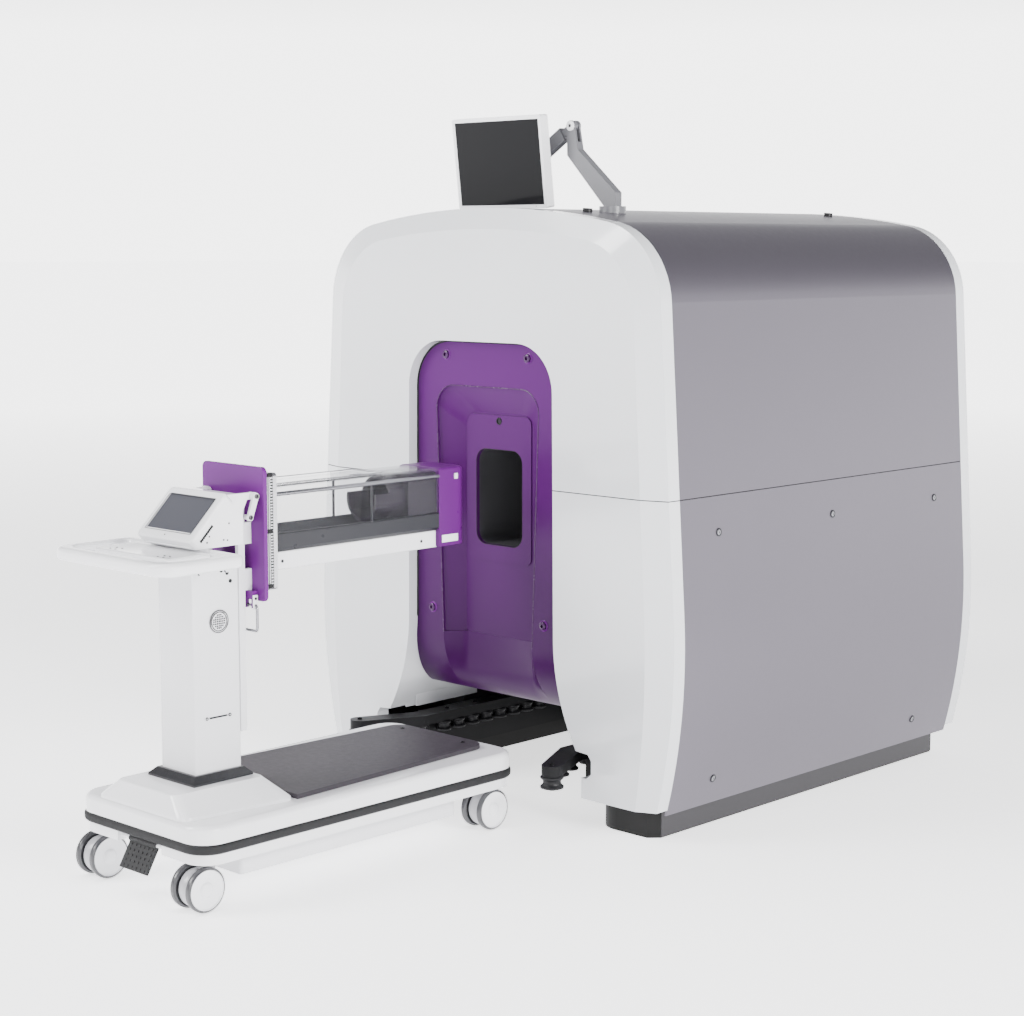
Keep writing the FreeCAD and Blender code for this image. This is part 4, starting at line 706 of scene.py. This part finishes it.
bay_half, wall_half = 0.400, 0.002
walls = [rounded((side * bay_half - wall_half, plinth_front + 0.045, 0.232),
                 (side * bay_half + wall_half, plinth_front + 0.335, 0.470), 0.0015, 2) for side in sides]
done(join(walls), "bay_walls", "magnet", white_gloss)

# ------------------------------------------------------------------ painted shadow lines of the recess

def door_line(half, low_half, top, corner, foot):
    """Points over a door-shaped opening, from its right foot to its left foot."""
    arch = [(half - corner + corner * math.cos(math.radians(9 * n)),
             top - corner + corner * math.sin(math.radians(9 * n))) for n in range(11)]
    right = [(low_half, foot)] + arch
    return right + [(-x, z) for x, z in reversed(right)]


# painted shadow: dark rods stand proud along the gap round the surround and along the rim of the niche,
# where the recess falls in shade
outer_line = [Vector((x, face_front + 0.0006, z))
              for x, z in door_line(0.3125, 0.3195, 1.4685, 0.148, 0.560)]
rim_line = [Vector((x, face_front + 0.0004, z))
            for x, z in door_line(0.225, rim_low, 1.328, 0.075, 0.521)]
done(hoop(outer_line, 0.0036, False), "surround_painted_shadow_line", "magnet", seal_rubber)
done(hoop(rim_line, 0.0020, False), "rim_painted_shadow_line", "magnet", purple_dark)

# ------------------------------------------------------------------ bore window and lens

plate_y = plinth_front + 0.036
window = hoop(round_frame(0.101, 0.819, 1.126, 0.041, lambda a, z: (a, plate_y + 0.0005, z)), 0.0012)
done(window, "window_edging", "magnet", seal_rubber)
lens_low, lens_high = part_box("niche_lens")
lens_mid = (0, plate_y, (lens_low[2] + lens_high[2]) / 2)
lens_ring = lathe([(0.002, 0.0078), (-0.001, 0.0078), (-0.002, 0.0090), (-0.002, 0.0105),
                   (0.0, 0.0120), (0.002, 0.0120)], lens_mid, "Y", 32)
done(lens_ring, "lens_ring", "magnet", black_plastic)

# ------------------------------------------------------------------ shield and seal

seal_low, seal_high = (Vector(v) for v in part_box("seal_flange"))
fingers = []
pitch, count = 0.0082, 38
tab_rows = ((seal_low.y + 0.001, seal_low.y + 0.012), (seal_high.y - 0.024, seal_high.y - 0.014))
for side in sides:
    for y0, y1 in tab_rows:
        x = side * (seal_high.x + 0.0006)
        tab = block((x - 0.0008, y0, seal_low.z + 0.009), (x + 0.0008, y1, seal_low.z + 0.014))
        start_edit(tab)
        pick_faces(tab, lambda normal: normal.x * side > 0.9)
        bpy.ops.mesh.inset(thickness=0.0012)
        bpy.ops.transform.translate(value=(side * 0.0006, 0, 0))
        end_edit()
        add_modifier(tab, "ARRAY", count=count, use_relative_offset=False,
                     use_constant_offset=True, constant_offset_displace=(0, 0, pitch))
        fingers.append(tab)
done(join(fingers), "contact_fingers", "trolley", contact_metal)
backing = []
for side in sides:
    for y0, y1 in tab_rows:
        x = side * (seal_high.x + 0.0002)
        backing.append(rounded((x - 0.0004, y0 - 0.0005, seal_low.z + 0.006),
                               (x + 0.0004, y1 + 0.0005, seal_high.z - 0.006), 0.0002, 1))
done(join(backing), "contact_backing", "trolley", black_plastic)
clips = []
for side in sides:
    for z in (0.975, seal_low.z + 0.006, seal_high.z - 0.010):
        x = side * (seal_high.x + 0.001)
        clips.append(rounded((x - 0.002, seal_low.y + 0.013, z),
                             (x + 0.002, seal_low.y + 0.030, z + 0.012), 0.0012))
done(join(clips), "contact_clips", "trolley", black_plastic)

# ------------------------------------------------------------------ latch loop

loop_low, loop_high = (Vector(v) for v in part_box("latch_loop"))
loop_mid = (loop_low + loop_high) / 2
wire = 0.004
half = (loop_high.x - loop_low.x) / 2 - wire
link = hoop(round_frame(half, loop_low.z + wire, loop_high.z - wire, 0.010,
                        lambda a, z: (loop_mid.x + a, loop_mid.y, z)), wire, sides=4)
done(link, "bright_link", "loop", bright_steel)
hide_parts("latch_loop")
pivot_z = loop_high.z - wire
cheeks = [rounded((loop_mid.x + x - 0.0016, loop_mid.y - 0.0085, pivot_z - 0.0105),
                  (loop_mid.x + x + 0.0016, loop_mid.y + 0.0085, pivot_z + 0.030), 0.0014, 3)
          for x in (-0.0225, 0.0225)]
done(join(cheeks), "lug_cheeks", "trolley", white_paint)
screws([((loop_mid.x + 0.0241, loop_mid.y, pivot_z + z), (1, 0, 0)) for z in (0.0, 0.020)],
       0.0040, 0.0014, "lug_screws", "trolley", black_plastic)

# ------------------------------------------------------------------ trolley casters

for corner in corners:
    low, high = (Vector(v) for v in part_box("caster_" + corner))
    wheel_low, wheel_high = (Vector(v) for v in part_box("wheels_" + corner))
    axle = (wheel_low + wheel_high) / 2
    king = Vector((axle.x, axle.y + 0.035, 0))
    drum = lathe([(-0.0190, 0.0), (-0.0190, 0.046), (-0.0175, 0.0505), (-0.0120, 0.0530),
                  (0.0, 0.0540), (0.0120, 0.0530), (0.0175, 0.0505), (0.0190, 0.046),
                  (0.0190, 0.0)], axle, "X", 56)
    post = lathe([(0.085, 0.0), (0.085, 0.0165), (0.101, 0.0175), (0.104, 0.0195),
                  (0.112, 0.0200), (0.117, 0.0185), (high.z, 0.018), (high.z, 0.0)],
                 (king.x, king.y, 0), "Z", 36)
    shoe = rounded((axle.x - 0.0175, axle.y - 0.004, 0.070),
                   (axle.x + 0.0175, king.y + 0.020, 0.108), 0.008, 4)
    body = done(join([drum, post, shoe]), "caster_housing_" + corner, "caster_body_" + corner,
                caster_plastic)
    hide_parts("caster_" + corner)

# ------------------------------------------------------------------ mat, deck and column

mat_high = Vector(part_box("step_mat")[1])
screws([((side * 0.135, mat_high.y - 0.045, mat_high.z), (0, 0, 1)) for side in sides],
       0.007, 0.0022, "mat_screws", "trolley", black_plastic)
column_low, column_high = (Vector(v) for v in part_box("column"))
face_x = column_high.x
dots = [((face_x, column_low.y + y, z), (1, 0, 0))
        for y, z in ((0.120, 0.873), (0.131, 0.850), (0.100, 0.882))]
dots += [((face_x, column_low.y + y, 0.8815), (1, 0, 0)) for y in (0.025, 0.115)]
screws(dots, 0.0055, 0.0012, "column_dots", "trolley", black_plastic)
slot_line = rounded((face_x + 0.0012, column_low.y + 0.050, 0.4722),
                    (face_x + 0.0020, column_low.y + 0.112, 0.4772), 0.0003)
done(slot_line, "column_slot", "trolley", black_plastic)
vent = Vector((face_x, column_low.y + 0.088, 0.742))
band_wide, band_proud = 0.0028, 0.0008
bands = [lathe([(0.0, size - band_wide), (band_proud, size - band_wide), (band_proud, size), (0.0, size)],
               vent + Vector((0.0028, 0, 0)), "X", 56) for size in (0.0275, 0.0325)]
done(join(bands), "vent_rings", "trolley", strip_steel)
hole_pitch = 0.0062
holes = [(vent + Vector((0.0030, y * hole_pitch, z * hole_pitch)), (1, 0, 0))
         for y in range(-3, 4) for z in range(-3, 4) if y * y + z * z < 13]
screws(holes, 0.0024, 0.0006, "vent_holes", "trolley", strip_steel)
screws([((face_x, column_low.y + y, 0.4747), (1, 0, 0)) for y in (0.041, 0.121)],
       0.0050, 0.0022, "slot_screws", "trolley", black_plastic)

# ------------------------------------------------------------------ console

screen_low = Vector(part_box("console_screen")[0])
tilt = math.radians(45)
slope = Vector((0, math.cos(tilt), math.sin(tilt)))
facing = Vector((0, -math.sin(tilt), math.cos(tilt)))
face_foot = Vector((0, screen_low.y, screen_low.z))
face_lift = 0.0042


def on_face(across, up, out=0.0):
    """Place on the sloping front of the console, measured up from the foot of the glass."""
    return face_foot + Vector((across, 0, 0)) + slope * up + facing * (face_lift + out)


glass_half, glass_foot, glass_head = 0.1015, -0.0035, 0.1195
edge = [on_face(across, up) for across, up in ((-glass_half, glass_foot), (glass_half, glass_foot),
                                               (glass_half, glass_head), (-glass_half, glass_head))]
done(hoop(edge, 0.0009, sides=2), "glass_edging", "console_unit", black_plastic)
lamp_dot = point_at(screw_head(0.0022, 0.0006), facing, on_face(0.0, -0.016, -0.0003))
done(lamp_dot, "console_lamp", "console_unit", tray_plastic)
console_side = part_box("console")[1][0]
cheek = 0.105


def on_side(piece, up):
    """Sets a piece on the console's right side, in line with the sloping front."""
    piece.rotation_euler = (tilt, 0, 0)
    piece.location = on_face(console_side, up, -0.0262)
    settle(piece)
    return piece


louvres = [on_side(rounded((-0.0008, -0.0300, -0.0034), (0.0006, 0.0300, 0.0034), 0.0005, 2), 0.022)]
for n in range(9):
    fin = rounded((-0.0010, -0.0010, -0.0046), (0.0009, 0.0010, 0.0046), 0.0004, 2)
    louvres.append(on_side(fin, -0.004 + 0.0066 * n))
done(join(louvres), "console_louvres", "console_unit", black_plastic)
screws([((side * cheek, y, z), (side, 0, 0)) for side in sides
        for y, z in ((-2.364, 1.015), (-2.383, 0.971), (-2.370, 0.969), (-2.440, 0.969), (-2.432, 0.985))],
       0.0026, 0.0008, "console_screws", "console_unit", tray_plastic)
pins = [((side * 0.1215, y, z), (side, 0, 0)) for side in sides
        for y, z in ((-2.280, 1.083), (-2.3015, 1.026))]
screws(pins, 0.0065, 0.0030, "pivot_screws", "trolley", strip_steel)

# ------------------------------------------------------------------ handle shelf

shelf_low, shelf_high = (Vector(v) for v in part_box("handle"))
shelf_top = shelf_high.z - 0.0030
ledge_half, ledge_dip = 0.166, 0.0012
ledge = rounded((-ledge_half, shelf_low.y + 0.086, shelf_low.z + 0.0135),
                (ledge_half, shelf_low.y + 0.232, shelf_top), 0.006, 4)
start_edit(ledge)
pick_faces(ledge, lambda normal: normal.z > 0.99)
bpy.ops.mesh.inset(thickness=0.010)
bpy.ops.transform.translate(value=(0, 0, -ledge_dip))
end_edit()
done(ledge, "key_ledge", "trolley", white_trolley)
spots = [((x, shelf_low.y + 0.108 + y, shelf_top - ledge_dip), (0, 0, 1))
         for x in (-0.120, -0.096, 0.096, 0.120) for y in (0.0, 0.022)]
screws(spots, 0.0030, 0.0008, "shelf_studs", "trolley", tray_plastic)

# ------------------------------------------------------------------ cradle

tray_low = Vector(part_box("cradle_tray")[0])
capsule_low, capsule_high = (Vector(v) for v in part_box("capsule"))
rod_z, rod_radius = 1.0775, 0.0062
rods = []
for side in sides:
    x = side * (capsule_high.x - 0.0040)
    ends = [(x, capsule_low.y + 0.002, rod_z), (x, capsule_high.y - 0.002, rod_z)]
    rods.append(hoop(ends, rod_radius, False, 4))
done(join(rods), "capsule_rods", "trolley", bright_steel)
post_low, post_high = 0.962, 1.074
lips = []
for side in sides:
    x = side * 0.0855
    lips.append(rounded((x - 0.0025, capsule_low.y + 0.001, 0.9615),
                        (x + 0.0025, capsule_high.y - 0.001, 0.9665), 0.0015, 2))
    for y0, y1 in ((0.385, 0.392), (0.001, 0.007)):
        lips.append(rounded((x - 0.0028, capsule_low.y + y0, post_low),
                            (x + 0.0028, capsule_low.y + y1, post_high), 0.0012, 2))
done(join(lips), "capsule_lips", "trolley", tray_plastic)
lid_low, lid_high = (Vector(v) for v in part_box("capsule_lid"))
bar_inset, bar_half, bar_low, bar_high = 0.004, 0.003, lid_low.z + 0.0030, lid_high.z + 0.0012
bars = []
for x in (lid_low.x + bar_inset, lid_high.x - bar_inset):
    bars.append(rounded((x - bar_half, lid_low.y + 0.001, bar_low),
                        (x + bar_half, lid_high.y - 0.001, bar_high), 0.0004, 2))
for y in (lid_low.y + bar_inset, lid_high.y - bar_inset):
    bars.append(rounded((lid_low.x + 0.001, y - bar_half, bar_low),
                        (lid_high.x - 0.001, y + bar_half, bar_high), 0.0004, 2))
bars.append(rounded((lid_high.x - 0.012, lid_high.y - 0.120, lid_high.z),
                    (lid_high.x - 0.001, lid_high.y - 0.080, lid_high.z + 0.004), 0.0018, 3))
done(join(bars), "lid_frame", "lid", bright_steel)
screws([((side * 0.072, tray_low.y + y, 0.883), (side, 0, 0)) for side in sides for y in (0.058, 0.600)],
       0.0045, 0.0012, "beam_screws", "trolley", tray_plastic)
coil_low = Vector(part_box("head_coil")[0])
coil_radius = 0.0615
knob = lathe([(0.0, 0.0), (0.0, 0.006), (0.004, 0.0065), (0.008, 0.0105), (0.014, 0.0125),
              (0.018, 0.0105), (0.0195, 0.0)], (0, coil_low.y + 0.085, rod_z), "Z", 28)
done(knob, "coil_knob", "trolley", coil_plastic)
rim = hoop([(coil_radius * math.cos(t), coil_low.y + 0.0595, 1.020 + coil_radius * math.sin(t))
            for t in (math.radians(18 - 216 * n / 30) for n in range(31))], 0.0024, False, 3)
done(rim, "coil_rim", "trolley", coil_plastic)

# ------------------------------------------------------------------ end cap

cap_low, cap_high = (Vector(v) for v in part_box("end_cap"))
plates = [rounded((side * cap_high.x - 0.0010, cap_low.y + 0.012, 0.873),
                  (side * cap_high.x + 0.0010, cap_low.y + 0.080, 0.896), 0.0009, 3) for side in sides]
done(join(plates), "blank_plates", "trolley", white_trolley)

# ------------------------------------------------------------------ monitor and arm

arm_low, arm_high = (Vector(v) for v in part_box("arm_lower"))
elbow = Vector((0.102, (arm_low.y + arm_high.y) / 2, 2.144))
monitor_x, monitor_lean = -0.142, math.radians(7)
caps = []
for way in sides:
    cap = lathe([(0.0, 0.0), (0.0, 0.0165), (0.003, 0.0160), (0.0045, 0.0135), (0.0045, 0.0065),
                 (0.0030, 0.0055), (0.0030, 0.0)], (0, 0, 0), "Z", 32)
    caps.append(point_at(cap, (0, way, 0), elbow + Vector((0, way * 0.015, 0))))
done(join(caps), "elbow_caps", "lower_arm", white_paint)
screws([(elbow + Vector((0, -0.0178, 0)), (0, -1, 0))], 0.005, 0.0016, "elbow_screw", "lower_arm",
       strip_steel)
cup = lathe([(0.0, 0.0), (0.0, 0.013), (0.006, 0.017), (0.016, 0.0185), (0.016, 0.0)],
            (monitor_x, elbow.y, 1.938), "Z", 32)
done(cup, "wrist_cup", "upper_arm", white_paint)
back_facing = Vector((0, math.cos(monitor_lean), math.sin(monitor_lean)))
rise = Vector((0, -math.sin(monitor_lean), math.cos(monitor_lean)))
pivot = Vector((monitor_x, elbow.y - 0.034, 2.038))


def behind(across, up, out=0.0):
    """Place on the monitor's back, measured from its tilt pivot."""
    return pivot + Vector((across, 0, 0)) + rise * up + back_facing * (-0.021 + out)


slits = []
for n in range(9):
    slit = rounded((-0.070, -0.0016, -0.0012), (0.070, 0.0016, 0.0006), 0.0005, 2)
    slits.append(point_at(slit, back_facing, behind(0, 0.080 + 0.0065 * n)))
done(join(slits), "monitor_slits", "monitor", black_plastic)
screws([(behind(x, z, 0.010), back_facing) for x in (-0.05, 0.05) for z in (-0.05, 0.05)],
       0.0045, 0.0022, "mount_screws", "monitor", strip_steel)
lamp_dot = point_at(screw_head(0.0016, 0.0006), -back_facing, behind(0.150, -0.139, -0.0342))
done(lamp_dot, "monitor_lamp", "monitor", tray_plastic)

# ------------------------------------------------------------------ mattress

low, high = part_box("mattress")
swell = 0.004
pad = block(Vector(low) + Vector((0.003, 0.004, 0.001)), Vector(high) - Vector((0.003, 0.004, 0.003)))
add_modifier(pad, "BEVEL", width=0.007, segments=3, limit_method="NONE")
add_modifier(pad, "REMESH", mode="VOXEL", voxel_size=0.005)
still = [vertex.co.copy() for vertex in pad.data.vertices]
cloth = pad.modifiers.new("Cloth", "CLOTH")
cloth.settings.use_pressure = True
cloth.settings.uniform_pressure_force = 4
cloth.settings.effector_weights.gravity = 0
for step in range(1, 21):
    bpy.context.scene.frame_set(step)
bpy.context.view_layer.objects.active = pad
bpy.ops.object.modifier_apply(modifier=cloth.name)
bpy.context.scene.frame_set(1)
for vertex, home in zip(pad.data.vertices, still):
    moved = vertex.co - home
    if moved.length > swell:
        vertex.co = home + moved.normalized() * swell
    vertex.co.z = max(vertex.co.z, low[2])
    vertex.co.x = min(max(vertex.co.x, low[0]), high[0])
add_modifier(pad, "SUBSURF", levels=1, render_levels=1)
cover_blue, cover_shade = (0.62, 0.64, 0.70), (0.54, 0.56, 0.63)
weave = Finish("mattress_cover", cover_blue, 0.78, Sheen_Weight=0.25)
across, along, up = weave.axes()
threads_per_metre, channels_per_metre = 900.0, 12.5
thread = (abs((across * threads_per_metre) % 1.0 - 0.5)
          + abs((along * threads_per_metre) % 1.0 - 0.5))
channel = (abs((along * channels_per_metre) % 1.0 - 0.5) < 0.03)
weave.feed(Base_Color=weave.mix(weave.noise(30.0, 4), cover_blue, cover_shade),
           Roughness=0.72 + weave.noise(80.0, 2) * 0.15)
weave.bump(thread - channel * 3.0, 0.35, 0.0008)
done(pad, "mattress_pad", "trolley", weave, angle=60)
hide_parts("mattress")

# ------------------------------------------------------------------ floor, light, camera

bpy.ops.object.select_all(action="DESELECT")
bpy.ops.mesh.primitive_plane_add(size=400, location=(0, 0, 0))
floor = bpy.context.object
floor.name = "floor"
plain = Finish("plain_floor", (0.90, 0.90, 0.91), 0.75, Emission_Strength=4.1)
across, along, up = plain.axes()
away = (across * across + along * along) ** 0.5 / 16.0
plain.feed(Emission_Color=plain.ramp(away, (0.0, 0.36), (0.25, 0.44), (1.0, 1.0))).on(floor)


def lamp(name, place, aim, size, power):
    """Soft rectangular light at a place, turned to a point."""
    light = bpy.data.lights.new(name, "AREA")
    light.shape = "RECTANGLE"
    light.size, light.size_y = size
    light.energy = power
    lamp_object = bpy.data.objects.new(name, light)
    bpy.context.collection.objects.link(lamp_object)
    lamp_object.location = place
    lamp_object.rotation_euler = (Vector(aim) - Vector(place)).to_track_quat("-Z", "Y").to_euler()


aim = (0, -1.0, 0.9)
lamp("key_light", (-3.2, -6.5, 4.2), aim, (3.0, 3.0), 560)
lamp("side_light", (6.6, -1.6, 3.0), (0.2, -1.2, 1.1), (3.0, 2.0), 820)
lamp("top_light", (-1.5, -3.4, 5.2), (0, -2.2, 0), (3.0, 3.0), 160)
lamp("front_light", (3.2, -6.8, 2.0), (0, -1.4, 0.7), (2.4, 2.0), 120)

world = bpy.data.worlds.new("studio")
bpy.context.scene.world = world
world.use_nodes = True
sky = world.node_tree


def sky_ramp(*stops):
    """A colour ramp of the studio's walls."""
    ramp = sky.nodes.new("ShaderNodeValToRGB")
    elements = ramp.color_ramp.elements
    while len(elements) < len(stops):
        elements.new(0.5)
    for element, (place, shade) in zip(elements, stops):
        element.position = place
        element.color = (*shade, 1)
    return ramp


ground = sky.nodes["Background"]
ground.inputs[1].default_value = 4.8
heading = sky.nodes.new("ShaderNodeTexCoord")
parts = sky.nodes.new("ShaderNodeSeparateXYZ")
fade_up = sky_ramp((0.10, (1, 1, 1)), (0.17, (0.42, 0.42, 0.43)), (0.34, (0.12, 0.12, 0.125)))
toward = sky.nodes.new("ShaderNodeVectorMath")
toward.operation = "DOT_PRODUCT"
toward.inputs[1].default_value = (-0.693, 0.721, 0.0)
fade_round = sky_ramp((0.0, (0.30, 0.30, 0.31)), (0.80, (1, 1, 1)))
both = sky.nodes.new("ShaderNodeMix")
both.data_type, both.blend_type = "RGBA", "MULTIPLY"
both.inputs[0].default_value = 1.0
sky.links.new(heading.outputs["Generated"], parts.inputs[0])
sky.links.new(parts.outputs["Z"], fade_up.inputs[0])
sky.links.new(heading.outputs["Generated"], toward.inputs[0])
sky.links.new(toward.outputs["Value"], fade_round.inputs[0])
sky.links.new(fade_up.outputs[0], both.inputs[6])
sky.links.new(fade_round.outputs[0], both.inputs[7])
sky.links.new(both.outputs[2], ground.inputs[0])

view = bpy.data.cameras.new("camera")
view.lens = 71.75
view.sensor_width = 36
camera = bpy.data.objects.new("camera", view)
bpy.context.collection.objects.link(camera)
camera.location = (4.500, -5.814, 1.766)
camera.rotation_euler = (math.radians(90 - 7.3), 0, math.radians(43.9))
bpy.context.scene.camera = camera
